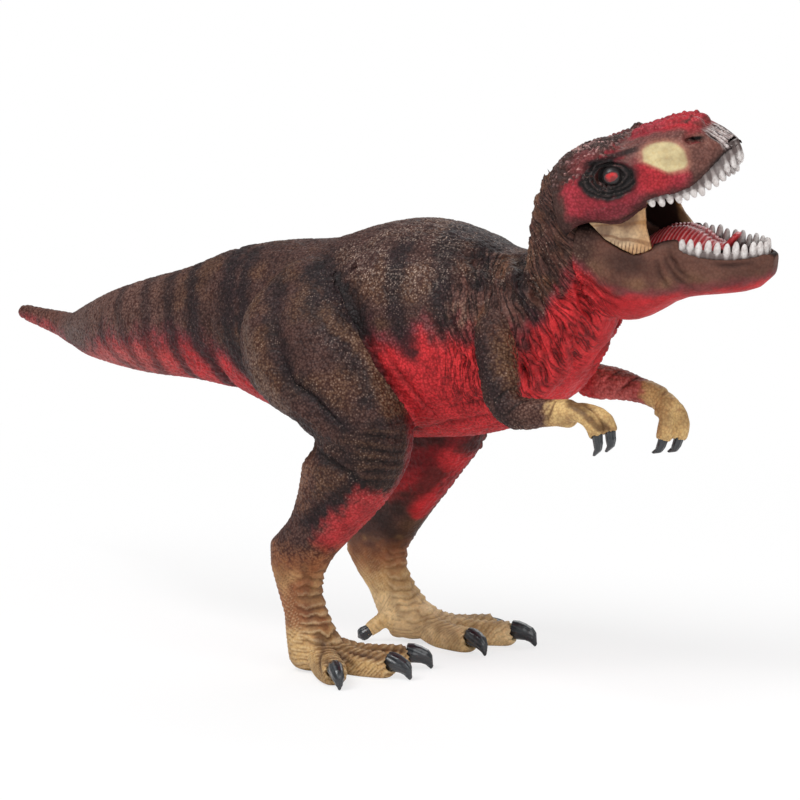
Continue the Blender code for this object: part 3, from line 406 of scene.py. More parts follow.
# %% [markdown]
# ## Carving folds and muscles
# A sculptor draws folds on the clay's side and then presses them in. Each stroke is a route of
# (x, z) points in millimetres as seen from the side, with a radius and a depth: a positive depth
# cuts a groove and a negative one raises a ridge. The trunk and the tail get the same strokes on
# both flanks, and a leg gets them on its outer side. Where a fine groove ran is kept, because dark
# wash collects there later.

# %% Carving tool
crease = {node: np.zeros(len(piece.data.vertices)) for node, piece in clay.items()}


def seen_from_side(points):
    flat = points.copy()
    flat[:, 1] = 0
    return flat


def route(line, shift=0.0):
    return [(x + shift, 0, z) for x, z in line]


def carve(node, strokes, sides=(-1, 1), shift=0.0):
    """Cuts grooves and raises ridges on the flanks: each stroke is (route, radius, depth)."""
    piece = clay[node]
    points, normals = points_of(piece), normals_of(piece)
    facing = np.max([soft(normals[:, 1] * side, 0.0, 0.4) for side in sides], axis=0)
    flat = seen_from_side(points)
    move = np.zeros(len(points))
    for line, radius, depth in strokes:
        gap, along = distance_to(flat, route(line, shift))
        ends = 1 - 0.8 * np.abs(2 * along - 1) ** 3
        press = depth * ends * np.exp(-(gap / radius) ** 2) * facing
        move += press
        if radius < 1.5 and depth > 0:
            bottom = ends * np.exp(-(gap / (0.5 * radius)) ** 2) * facing
            crease[node] = np.maximum(crease[node], bottom)
    set_points(piece, points - normals * move[:, None])


# %% Folds on the trunk and tail
NECK_FOLDS = [
    [(67, 103), (74, 98), (81, 94), (84, 88)], [(68, 105), (77, 101), (84, 96), (87, 89)],
    [(74, 106), (80, 101), (85, 97), (88, 90)], [(82, 107), (83, 101), (85, 96), (88, 88)],
    [(84, 115), (88, 105), (90, 98), (92, 91)], [(81, 117), (85, 108), (87, 101), (89, 95)],
    [(85, 118), (90, 109), (92, 104)], [(63, 104), (70, 99), (75, 93)],
    [(60, 105), (65, 101), (69, 96)], [(71, 106), (77, 102), (81, 97)],
]
THROAT_FOLDS = [
    [(93, 99), (94, 93), (95, 88)], [(92, 96), (93, 89), (94, 84)], [(96, 99), (97, 94), (97, 89)],
    [(89, 91), (91, 84), (88, 75), (81, 68)], [(87, 88), (88, 82), (86, 74), (80, 67)],
    [(85, 86), (86, 80), (83, 72)], [(82, 89), (84, 82), (84, 75)], [(92, 90), (91, 81), (86, 73)],
    [(79, 88), (82, 80), (81, 73)],
]
FLANK_FOLDS = [
    [(45, 60), (52, 61), (59, 63), (69, 65), (73, 63)], [(60, 67), (70, 69), (76, 68)],
    [(46, 82), (53, 72), (57, 64)], [(63, 90), (68, 85), (72, 79), (75, 74)],
    [(60, 88), (66, 82), (71, 76)],
]
# Each long fold has a finer one in front of it and a raised lip behind it
long_folds = NECK_FOLDS + THROAT_FOLDS
folds = [(line, 0.8, 1.0) for line in long_folds]
folds += [([(x + 1.5, z - 0.3) for x, z in line[:-1]], 0.6, 0.5) for line in long_folds]
folds += [([(x - 1.3, z + 0.5) for x, z in line[1:]], 0.7, -0.4) for line in long_folds]
folds += [(line, 0.7, 0.6) for line in FLANK_FOLDS]
HOLLOW = [(24, 98), (30, 95), (35, 92), (40, 86)]
GROIN = [(39, 88), (43, 83), (47, 76), (50, 69), (49, 62)]
GROIN_SHIFT = -2.5
body = folds + [(HOLLOW, 3.0, 0.5), ([(x + GROIN_SHIFT, z) for x, z in GROIN], 2.0, 0.9)]
for node in ("trunk", "tail"):
    carve(node, body)
print("strokes on the body:", len(body))

# %% [markdown]
# ## Loose skin on the neck and chest
# Between the long folds the skin hangs in many short ones. Drawing each by hand would take days, so
# blotches of random height are stretched along the way the skin hangs, and their edges are pressed
# in. Two attributes go with the mesh: flow is the stretched pattern, so that the paint's fine lines
# can follow the folds, and wrinkled says where they are.

# %% Short folds
LEAN, LEAN_FROM = 0.013, 74
ridges = {}


def wrinkle(node, width, length, depth, where):
    """Many short folds, all but upright on the chest and leaning forward on the neck."""
    piece = clay[node]
    points, normals = points_of(piece), normals_of(piece)
    across = points[:, 0] + LEAN * np.clip(points[:, 2] - LEAN_FROM, 0, None) ** 2
    bend = 2.2 * mottle(points, 9.0, 41)
    pattern = np.stack([across / width + bend, points[:, 1] / length, points[:, 2] / length], axis=1)
    ridge = 1 - np.abs(2 * mottle(pattern, 1.0, 42) - 1)
    share = where(points) * soft(np.abs(normals[:, 1]), 0.05, 0.35)
    crease[node] = np.maximum(crease[node], soft(ridge, 0.75, 1.0) * share * 0.15)
    ridges[node] = soft(ridge, 0.5, 0.15) * share
    set_points(piece, points - normals * (depth * soft(ridge, 0.3, 1.0) * share)[:, None])
    layer = piece.data.attributes.new("flow", "FLOAT_VECTOR", "POINT")
    layer.data.foreach_set("vector", pattern.astype(np.float32).ravel())
    layer = piece.data.attributes.new("wrinkled", "FLOAT", "POINT")
    layer.data.foreach_set("value", share.astype(np.float32))


wrinkle("trunk", 1.5, 13.0, 0.7, lambda p: soft(p[:, 0], 56, 68) * soft(p[:, 2], 60, 74))
wrinkle("lower_jaw", 1.5, 13.0, 0.35, lambda p: soft(p[:, 0], 104, 94) * soft(p[:, 2], 104, 96))
print("points in loose skin:", {node: int((share > 0.5).sum()) for node, share in ridges.items()})

# %% [markdown]
# ## Muscles on the legs and arms
# A walking leg shows its muscles as long valleys, and the knee gathers skin in short folds. They
# could be modelled as separate swellings, but valleys pressed into one thigh keep its skin whole.

# %% Muscles and folds on the legs
THIGH_GROOVE = [(13, 95), (17, 90), (20, 82), (23, 77), (26, 72), (32, 69), (37, 65), (42, 62)]
NOTCH = [(22, 57.5), (27, 56.5), (31, 56)]
NOTCH_LINE = [(31, 56), (34, 55), (38, 53), (42, 51), (44, 48)]
THIGH_REAR = [(26, 62), (32, 59), (38, 57), (43, 55)]
THIGH_BAND = [(27, 91), (32, 87), (38, 82), (43, 76), (46, 70)]
THIGH_RIDGE = [(31, 89), (35, 86), (41, 82), (46, 75), (50, 66)]
CALF_BAND = [(43, 49), (39, 45), (35, 43), (31, 40), (28, 38)]
SHANK_GROOVE = [(24, 27), (24, 18), (25, 12), (28, 7)]
KNEE_FOLDS = [[(43, 58), (48, 57.5), (53, 56)], [(44, 55), (49, 54.5), (54, 52.5)],
              [(44, 52), (49, 52), (54, 49.5)], [(44, 49.5), (49, 49), (53, 47)],
              [(46, 61), (50, 60.5), (54, 59)]]
CLEFTS = [[(27, 9), (31, 6), (36, 3)], [(29, 8), (35, 6), (44, 5)]]
muscles = [(THIGH_GROOVE, 2.6, 1.2), (THIGH_GROOVE[3:], 0.7, 0.9), (THIGH_REAR, 1.8, 0.8),
           (THIGH_BAND, 2.2, 0.6), (THIGH_RIDGE, 1.8, -0.6), (HOLLOW, 3.0, 0.5),
           (CALF_BAND, 2.2, 0.9), (SHANK_GROOVE, 1.6, 0.5), (NOTCH, 2.4, 3.4),
           (NOTCH_LINE, 1.3, 1.1)]
muscles += [(line, 0.6, 0.55) for line in KNEE_FOLDS] + [(line, 0.8, 0.6) for line in CLEFTS]
LEG_SHIFT = {"right_leg": 0.0, "left_leg": -6.0}
carve("right_leg", muscles, sides=(-1,))
carve("left_leg", muscles, sides=(1,), shift=LEG_SHIFT["left_leg"])
for node in ("right_arm", "left_arm"):
    carve(node, [([(73, 92), (76, 90), (80, 85)], 0.6, 0.4), ([(84, 68), (88, 72), (92, 73)], 0.7, 0.4),
                 ([(81, 71), (84, 74), (88, 76)], 0.6, 0.3), ([(97, 74), (97, 71), (96, 68)], 0.6, 0.4)])
print("strokes on a leg:", len(muscles))

# %% [markdown]
# ## The left foot's hind toe
# The hind toe points back and down. On the left foot it hangs lower than its casting, so that end of
# the clay is bent down, fading out towards the foot. Its claw goes through the same bend later.

# %% Lower the left rear toe
LEFT_REAR_TOE_DROP = 2.2


def drop_rear_toe(points):
    """Bends down what lies near the left foot's hind toe."""
    x, y, z = points.T
    near = soft(x, 21, 15) * soft(z, 13, 9) * soft(y, -4, 0) * soft(y, 12, 8)
    return points - near[:, None] * (0, 0, LEFT_REAR_TOE_DROP)


set_points(clay["left_leg"], drop_rear_toe(points_of(clay["left_leg"])))
print("left hind toe lowered, mm:", LEFT_REAR_TOE_DROP)

# %% [markdown]
# ## Scutes
# From the ankle down the skin turns to overlapping plates, moulded as ribs about 2 mm apart in front
# and as wrinkles of half that behind. They follow the shank down and then each toe outwards, so one
# measure serves: the way out from the ankle less the height.

# %% Ribs on the feet
PLATE_MM, WRINKLE_MM = 2.1, 1.0
ANKLES = {"right_leg": (24.0, -34.0), "left_leg": (22.0, 10.0)}
ribs = {}


def rib_wave(points, measure, width):
    """Sloping steps from 0 to 1 with slightly wandering edges."""
    wander = 1.2 * mottle(points, 4.0, 3) + 0.5 * mottle(points, 1.5, 4)
    part = np.mod(measure / width + wander, 1.0)
    return np.where(part < 0.8, part / 0.8, (1 - part) / 0.2)


for node, ankle in ANKLES.items():
    points, normals = points_of(clay[node]), normals_of(clay[node])
    out = np.hypot(points[:, 0] - ankle[0], points[:, 1] - ankle[1])
    measure = np.maximum(out, 6) - points[:, 2]
    plated = soft(normals[:, 0] + 0.6 * normals[:, 2], 0.1, 0.5)
    wave = rib_wave(points, measure, WRINKLE_MM) * (1 - plated) + rib_wave(points, measure, PLATE_MM) * plated
    where = soft(points[:, 2], 31, 25) * soft(normals[:, 2] + 0.8, 0.0, 0.5)
    ribs[node] = wave
    set_points(clay[node], points + normals * ((wave - 0.6) * (0.24 + 0.3 * plated) * where)[:, None])

# %% [markdown]
# ## Pebbled skin
# Vinyl figures of this kind have small round scales all over. A displacement picture could give
# them, but knobs worked out from each point's place need no picture and no unwrapping, and they are
# real relief on the mesh. Each cell of a grid holds one knob, a little off its middle, and the
# nearest one counts.

# %% Round knobs
def knobs(points, size, seed):
    """Round knobs of about a size in mm, 0 between them and 1 on top, and a random share for each."""
    cell = points / size
    base = np.floor(cell)
    nearest = np.full(len(points), 9.0)
    chance = np.zeros(len(points))
    for corner in itertools.product((-1, 0, 1), repeat=3):
        key = base + corner
        centre = key + 0.5
        rolls = [np.modf(np.abs(np.sin(key @ (127.1 + 7 * i, 311.7 - 5 * i, 74.7 + seed))) * 43758.5453)[0]
                 for i in range(3)]
        centre = centre + 0.6 * (np.stack(rolls, axis=1) - 0.5)
        gap = np.linalg.norm(cell - centre, axis=1)
        chance = np.where(gap < nearest, rolls[0], chance)
        nearest = np.minimum(nearest, gap)
    return np.sqrt(np.clip(1 - (nearest / 0.6) ** 2, 0, 1)), chance


# %% Pebbles on the body
PEBBLE_MM, PEBBLE_HIGH = 1.35, 0.30

for node in ("trunk", "tail", "right_leg", "left_leg", "right_arm", "left_arm"):
    points, normals = points_of(clay[node]), normals_of(clay[node])
    where = soft(points[:, 2], 30, 40) if node.endswith("leg") else soft(points[:, 0], 96, 88)
    pebbles = knobs(points, PEBBLE_MM, 33)[0]
    set_points(clay[node], points + normals * (PEBBLE_HIGH * (pebbles - 0.6) * where)[:, None])
    print(node, "pebbled points:", int((where > 0.5).sum()))

# %% [markdown]
# ## The head
# Knobs crown the skull, bumps run along the snout, and rings of wrinkles lie around each eye, so the
# head's carving is worked out in its own frame.

# %% Carve the skull
EYE = np.array((12.0, 14.5, 15.2))
EYE_RADIUS, LID_MM = 2.1, 0.3
SLIT = np.array((12.3, 15.3))
SOCKET = (10.8, 14.9)
CREST = [(17.2, 2.9), (20.2, 3.1), (23.2, 3.1), (26.0, 2.9), (28.7, 2.6), (31.2, 2.2)]


def socket_measure(local):
    """Like a radius around the eye, 1 at the rim of the socket, which rises to the rear."""
    a = (local[:, 0] - SOCKET[0]) / 6.4
    b = (local[:, 2] - SOCKET[1] + 0.18 * (local[:, 0] - SOCKET[0])) / 4.7
    return np.hypot(a, b)


def lid_wave(local):
    """Rings of wrinkles around the eye, 1 on their crests and -1 in between."""
    a, b = (local[:, (0, 2)] - SLIT).T
    rings = np.hypot(a / 1.5, b + 0.1 * a) + 0.9 * mottle(local, 3.0, 12) + 0.3 * mottle(local, 1.2, 13)
    return np.cos(rings * 2 * math.pi / 1.0)


def carve_skull():
    piece = clay["skull"]
    points, normals = points_of(piece), normals_of(piece)
    local, facing = within(points, HEAD), normals @ np.array(HEAD.to_3x3())
    a, y, b = local.T
    flank = soft(np.abs(facing[:, 1]), 0.25, 0.6)
    ring = socket_measure(local)
    move = -0.5 * soft(ring, 1.0, 0.8) * flank
    move += 0.28 * lid_wave(local) * soft(ring, 1.2, 0.95) * flank
    top = soft(facing[:, 2], 0.25, 0.65)
    crown = top * soft(a + 1.5 * (mottle(points, 3, 5) - 0.5), 15.5, 12.5)
    knob, _ = knobs(local, 1.25, 21)
    move += crown * (1.0 * knob - 0.2)
    move -= 2.6 * soft(a, -4, -10) * soft(b, 12, 17)
    rim = soft(np.abs(b - 8.8 + 0.05 * a), 1.6, 0.4) * soft(a, 4, 6) * soft(a, 17, 14) * flank
    move += rim * 0.35 * knobs(local, 1.0, 4)[0]
    for forward, out in CREST:
        for side in (-1, 1):
            gap = np.hypot(a - forward, y - side * out)
            move += 1.35 * np.sqrt(np.clip(1 - (gap / 1.75) ** 2, 0, 1)) * top
    shaped = [([(0.5, 11, 20.6), (6, 11.5, 19.8), (12, 11.5, 18.9), (18, 11, 18.4), (25, 9.5, 17.2)],
               1.3, -0.6),
              ([(12.3, 10.3, 20.9)], 1.7, -1.6),
              ([(17, 10.5, 17.4), (23, 9.5, 16.9)], 0.7, 0.35),
              ([(30.2, 8.1, 16.9), (31.7, 7.9, 16.4), (33.1, 7.2, 16.0)], 0.8, 1.3),
              ([(-3, 16, 6.2), (2.5, 16, 6.6), (5, 16.5, 5.0)], 0.7, 0.7),
              ([(3, 15, 6.0), (10, 15, 4.6), (17, 12, 6.4), (25, 9.5, 6.8), (33, 6.5, 9.0)], 0.5, 0.3),
              ([(32, 3, 18.0), (35, 3.3, 15.6), (38, 3.3, 12.5)], 0.45, 0.45),
              ([(33, 0.8, 18.0), (36.0, 0.8, 15.0), (39, 0.8, 11.5)], 0.45, 0.45),
              ([(32, 5, 17.4), (34.8, 4.9, 15.2), (37.4, 4.6, 12.4)], 0.45, 0.45)]
    for line, radius, depth in shaped:
        for side in (-1, 1):
            gap, _ = distance_to(local, [(p, side * q, r) for p, q, r in line])
            move -= depth * np.exp(-(gap / radius) ** 2)
            if depth > 0:
                bottom = np.exp(-(gap / (0.6 * radius)) ** 2)
                crease["skull"] = np.maximum(crease["skull"], bottom)
    set_points(piece, points + normals * move[:, None])


def carve_jaw():
    piece = clay["lower_jaw"]
    points, normals = points_of(piece), normals_of(piece)
    local, facing = within(points, JAW), normals @ np.array(JAW.to_3x3())
    outside_face = soft(np.abs(facing[:, 1]), 0.2, 0.5)
    move = np.zeros(len(points))
    lines = [[(16.5, 2.6), (18.0, -0.5), (20.5, -3.5), (24, -5.5)], [(15.0, 0.8), (16.5, -3), (19.0, -6.5)],
             [(18.5, 1.5), (20.5, -1.2), (23.5, -3.2)], [(17.5, 3.2), (18.6, 1.2), (20.6, -0.4)],
             [(27, 0.8), (32, 1.0), (37, 2.0)], [(-3, -6), (3, -9.5), (9, -11)],
             [(-4, -8), (2, -11.5), (7, -13)]]
    for line in lines:
        gap, along = distance_to(seen_from_side(local), route(line))
        cut = np.exp(-(gap / 0.6) ** 2) * outside_face * (1 - 0.8 * np.abs(2 * along - 1) ** 3)
        move -= 0.55 * cut
        crease["lower_jaw"] = np.maximum(crease["lower_jaw"], cut)
    set_points(piece, points + normals * move[:, None])


carve_skull()
carve_jaw()
print("points in the skull's grooves:", int((crease["skull"] > 0.5).sum()))

# %% [markdown]
# ## Paint
# The factory paints such a figure in layers: a brown base, airbrushed red on the belly and
# near-black stripes on the back, a dark wash that settles between the scales, and a pale dry brush
# over their tips. The airbrush works from the side, so a stroke is masked by its distance as seen
# from there. Each layer is mixed into a colour stored at every point of the skin.

# %% Airbrush
class Paint:
    """A piece's colour at each point, and how much dry brush and pebble relief it gets."""

    def __init__(self, piece, base):
        self.piece = piece
        self.points = points_of(piece)
        self.normals = normals_of(piece)
        self.flat = seen_from_side(self.points)
        self.colour = np.tile(np.array(linear(base)), (len(self.points), 1))
        self.dry = np.zeros(len(self.points))
        self.pebble = np.ones(len(self.points))
        self.grit = mottle(self.points, 1.3, 7)
        self.cloud = 0.6 * mottle(self.points, 8.0, 8) + 0.4 * mottle(self.points, 3.0, 9)

    def spray(self, code, mask):
        mask = np.clip(mask, 0, 1)[:, None]
        self.colour = self.colour * (1 - mask) + np.array(linear(code)) * mask

    def beside(self, line, inner, outer, shift=0.0):
        """1 within the inner distance of a route as seen from the side, and 0 past the outer one."""
        gap, _ = distance_to(self.flat, route(line, shift))
        return soft(gap + (self.grit - 0.5) * (outer - inner) * 0.7, outer, inner)

    def wash(self, node, strength=0.9):
        """Dark wash in the folds that were carved, which keeps the tint of the paint below it."""
        share = np.clip(crease[node] * strength, 0, 1)[:, None]
        self.colour *= 1 - share + share * np.array(linear("#76564f"))

    def store(self):
        mesh = self.piece.data
        layer = mesh.attributes.new("paint", "FLOAT_COLOR", "POINT")
        layer.data.foreach_set("color", self.colour.astype(np.float32).ravel())
        for name, values in (("dry_brush", self.dry), ("pebble", self.pebble)):
            layer = mesh.attributes.new(name, "FLOAT", "POINT")
            layer.data.foreach_set("value", np.clip(values, 0, 1).astype(np.float32))


# %% Colours of the paints
BROWN, WARM_BROWN, OCHRE_BROWN = "#503630", "#66483d", "#664832"
STRIPE, DEEP_BROWN = "#231419", "#2f1e1a"
RED, DEEP_RED, BRIGHT_RED, PURPLE_RED = "#c92d33", "#5e0a12", "#c0282e", "#7d2f3a"
TAN, TAN_BROWN, FOOT_WASH = "#cfae76", "#99623f", "#5a3a22"
CREAM, SNOUT_GREY = "#cdbd90", "#d2cac8"
# The hollow's near-black is painted shade for the hip's hollow and the groin.
MOUTH_DARK, HOLLOW_SHADE_BLACK, SOCKET_BLACK = "#1d0e0c", "#160a0c", "#100a0b"

# %% Paint the trunk and tail
STRIPES = [
    ([(-58, 77), (-57, 74), (-53, 70), (-49, 67)], 1.6), ([(-52, 88), (-47, 79), (-43, 71), (-42, 66)], 1.7),
    ([(-41, 90), (-36, 83), (-36, 75), (-35, 70), (-36, 66)], 1.9),
    ([(-32, 93), (-27, 84), (-26, 76), (-25, 71), (-24, 67)], 2.0),
    ([(-23, 95), (-18, 85), (-17, 77), (-13, 72), (-12, 67)], 2.2),
    ([(-10, 101), (-5, 90), (-5, 80), (-2, 75), (2, 70)], 3.0), ([(-3, 99), (0, 89), (1, 82)], 2.0),
    ([(46, 104), (48, 95), (50, 89), (54, 81)], 2.4), ([(53, 110), (59, 101), (61, 93), (63, 88)], 2.0),
    ([(55, 111), (65, 103), (69, 97)], 1.5), ([(70, 107), (76, 101), (81, 96), (85, 90)], 1.2),
]
RED_EDGE = [(-140, 69.5), (-123, 68.5), (-101, 66), (-86, 66), (-70, 71), (-53, 74), (-43, 75), (-21, 77),
            (2, 73), (30, 80), (41, 84), (51, 82), (58, 87), (66, 87), (76, 83), (82, 85), (86, 90),
            (90, 98), (94, 104), (120, 110)]


def body_colours(coat):
    """Base, belly and stripes; returns the height over the belly's edge."""
    points = coat.points
    edge = np.interp(points[:, 0], [x for x, _ in RED_EDGE], [z for _, z in RED_EDGE])
    below = points[:, 2] - edge + (coat.grit - 0.5) * 4 + (coat.cloud - 0.5) * 6
    coat.spray(OCHRE_BROWN, soft(coat.cloud, 0.45, 0.7) * 0.6)
    behind = soft(points[:, 0], -15, -45)
    coat.spray("#6e5047", behind * 0.9)
    coat.spray(PURPLE_RED, soft(below, 5.0, -1.0) * 0.75)
    coat.spray(RED, soft(below, 1.0, -5.0))
    coat.spray(BRIGHT_RED, soft(below, -6, -14) * soft(coat.cloud, 0.3, 0.65) * 0.8)
    coat.spray("#bd625e", soft(below, 1.0, -5.0) * behind * 0.75)
    for stripe, wide in STRIPES:
        coat.spray(STRIPE, coat.beside(stripe, wide * 0.3, wide * 1.8) * (0.88 - 0.3 * behind))
    # Painted shade: dark brown and near-black in the hollow before the hip and along the groin, where the
    # thigh meets the belly.
    coat.spray(STRIPE, coat.beside(HOLLOW, 1.0, 6.0) * 0.85)
    coat.spray(HOLLOW_SHADE_BLACK, coat.beside(GROIN, 0.6, 3.6, GROIN_SHIFT) * 0.85)
    coat.spray(HOLLOW_SHADE_BLACK, coat.beside(HOLLOW, 0.6, 3.5) * 0.8)
    coat.spray("#66504a", soft(np.abs(points[:, 0] + 80), 20, 8) * soft(points[:, 2], 66, 71) * 0.85)
    coat.spray("#6d4a3f", soft(points[:, 0], -100, -118) * soft(points[:, 2] - edge, -0.5, 1.5) * 0.9)
    return below


def paint_body(node):
    coat = Paint(clay[node], BROWN)
    points = coat.points
    below = body_colours(coat)
    if node == "trunk":
        coat.wash(node, 0.6)
        coat.spray("#8d7567", ridges[node] * soft(below, -4, 3) * soft(coat.grit, 0.3, 0.7) * 0.4)
    neck = soft(points[:, 0], 54, 60) * soft(points[:, 2], 96, 101)
    saddle = soft(points[:, 2], 86, 99) * soft(np.abs(points[:, 0] - 52), 44, 25)
    coat.dry = 0.3 + 0.7 * saddle * soft(coat.cloud, 0.25, 0.55)
    coat.dry *= (soft(below, -8, 2) * 0.8 + 0.2) * (1 - 0.3 * neck)
    coat.dry *= 1 - 0.8 * coat.beside(HOLLOW, 2.0, 6.0)
    coat.pebble = 0.7 + 0.3 * soft(below, -6, 3)
    coat.pebble *= 1 - 0.5 * soft(points[:, 0], 66, 78)
    coat.store()


for node in ("trunk", "tail"):
    paint_body(node)

# %% [markdown]
# ## Paint on the legs and arms
# The outer side of a leg is brown with dark valleys, its inner side is red, and the foot fades to
# tan. Near the hip the leg takes the trunk's own colours, so that no edge shows where they meet.
# The arms are brown outside and red inside, with tan hands.

# %% Routes of paint on the legs
SHIN_RED = [(44, 43), (41, 40), (37, 37), (33, 33)]
INNER_RED = [(40, 49), (38, 46), (33, 40), (28, 34)]
BLOTCHES = [[(35, 45), (31, 41), (26, 38), (23, 35)], [(28, 55), (32, 53), (37, 54)],
            [(45, 54), (42, 51)], [(15, 35), (19, 30), (21, 26)]]
KNEE_SHADE = [(47, 60), (49, 53), (47, 47)]
# Route of a painted highlight on the back of the calf
CALF_HIGHLIGHT = [(28, 51), (25, 47), (25, 43)]
THIGH_RIM = [(26, 104), (9, 103), (4, 98), (3, 93), (6, 88), (12, 79), (16, 71), (23, 66)]
# Route, where the band is full, where it ends, and its strength. The bands along the hollow, the
# groin and the notch where the thigh overlaps the calf are painted shade; the rest are dark stripes.
STRIPE_AND_SHADE_BANDS = [(THIGH_GROOVE, 0.6, 4.6, 0.8), (THIGH_GROOVE[3:], 0.2, 1.6, 0.7),
              (THIGH_REAR, 0.6, 4.0, 0.7), (THIGH_BAND, 0.6, 4.2, 0.75), (HOLLOW, 1.2, 6.5, 0.95),
              (CALF_BAND, 0.8, 4.2, 0.85), (NOTCH_LINE, 0.4, 2.6, 0.8), (GROIN, 0.4, 2.2, 0.8)]


# %% Paint the legs
def paint_foot(coat, node, high, far, shift):
    """Tan from the ankle down, with dark wash between the plates and light on their edges."""
    # Painted light: the far foot is painted paler than the near one, with more tan, an extra pale coat and
    # less dark wash, so that it reads brighter.
    coat.spray(TAN_BROWN, soft(high, 28, 21) * 0.9 if far else soft(high, 34, 27) * 0.9)
    coat.spray(TAN, soft(high, 23, 12) * 0.9 if far else soft(high, 14, 5) * 0.8)
    coat.spray("#ebcd9a", soft(high, 17, 8) * (0.95 if far else 0.0))
    coat.spray(TAN, soft(high, 28, 22) * soft(coat.cloud, 0.42, 0.62) * (0.6 if far else 0.35))
    ribbed = soft(high, 31, 24)
    wash_and_light_share = 0.35 if far else 0.55
    clefts = np.max([coat.beside(line, 0.3, 1.8, shift) for line in CLEFTS], axis=0)
    coat.spray(FOOT_WASH, ribbed * soft(ribs[node], 0.40, 0.08) * wash_and_light_share)
    coat.spray(FOOT_WASH, ribbed * coat.beside(SHANK_GROOVE, 0.2, 1.4, shift) * wash_and_light_share * 0.7)
    coat.spray(FOOT_WASH, ribbed * clefts * wash_and_light_share)
    coat.spray("#d9c097", ribbed * soft(ribs[node], 0.6, 0.9) * soft(high, 26, 12) * 0.5)
    return ribbed


def paint_leg(node, side):
    coat = Paint(clay[node], BROWN)
    points = coat.points
    shift = LEG_SHIFT[node]
    middle = np.interp(points[:, 2], [20, 50, 70, 100], ANKLES[node][1] + side * np.array((0, 4, 3, 4)))
    outward = soft((points[:, 1] - middle) * side, -5, 0)
    outward = np.maximum(outward, soft(points[:, 2], 66, 72))
    far = side > 0
    whole = Paint(clay[node], BROWN)
    body_colours(whole)
    high = points[:, 2] + (coat.grit - 0.5) * 3
    coat.spray(OCHRE_BROWN, soft(coat.cloud, 0.4, 0.7) * 0.65)
    coat.spray(RED, (1 - outward) * soft(high, 34, 42))
    coat.spray(DEEP_RED, (1 - outward) * soft(high, 36, 48) * 0.8)
    if far:
        inner = 1 - outward
        coat.spray(RED, inner * coat.beside(INNER_RED, 1.5, 4.0))
        for blotch in BLOTCHES:
            coat.spray(DEEP_BROWN, inner * coat.beside(blotch, 0.4, 3.4) * 0.75)
    # Dark stripes, and painted shade in the hollow, the groin and along the notch.
    for line, full, end, share in STRIPE_AND_SHADE_BANDS:
        coat.spray(STRIPE, coat.beside(line, full, end, shift) * outward * share)
    coat.spray(DEEP_BROWN, coat.beside(KNEE_SHADE, 2.0, 7.0, shift) * outward * 0.75)
    # Painted highlight: paler brown along the thigh's raised front ridge.
    coat.spray("#7a5a42", coat.beside(THIGH_RIDGE, 0.2, 2.2, shift) * outward * 0.6)
    # Painted highlight: paler warm brown on the back of the calf.
    coat.spray("#7d5a47", coat.beside(CALF_HIGHLIGHT, 1.0, 5.0, shift) * outward * 0.75)
    coat.spray("#7d6a5e", coat.beside(THIGH_RIM, 0.5, 3.5, shift) * outward * 0.45)
    if not far:
        coat.spray("#b53538", coat.beside(SHIN_RED, 0.8, 6.2) * outward)
        coat.spray(RED, coat.beside(SHIN_RED, 1.4, 5.0) * (1 - outward))
    ribbed = paint_foot(coat, node, high, far, shift)
    coat.wash(node)
    # Painted highlight: pale brown on the top edge of each knee fold.
    for line in KNEE_FOLDS:
        ridge = [(x, z + 1.3) for x, z in line]
        coat.spray("#8a6647", coat.beside(ridge, 0.0, 0.7, shift) * outward * 0.15)
    hip = soft(points[:, 2], 93, 104)[:, None]
    coat.colour = whole.colour * hip + coat.colour * (1 - hip)
    coat.dry = 0.3 + 0.6 * soft(coat.cloud, 0.4, 0.7)
    coat.dry = np.maximum(coat.dry, coat.beside(THIGH_BAND, 2, 6, shift)) * outward * (1 - ribbed) * 0.62
    redness = coat.beside(SHIN_RED, 0.8, 6.2, shift)
    coat.pebble = (1 - 0.75 * ribbed) * (1 - 0.5 * (1 - outward)) * (1 - 0.4 * redness)
    coat.store()


paint_leg("right_leg", -1)
paint_leg("left_leg", 1)

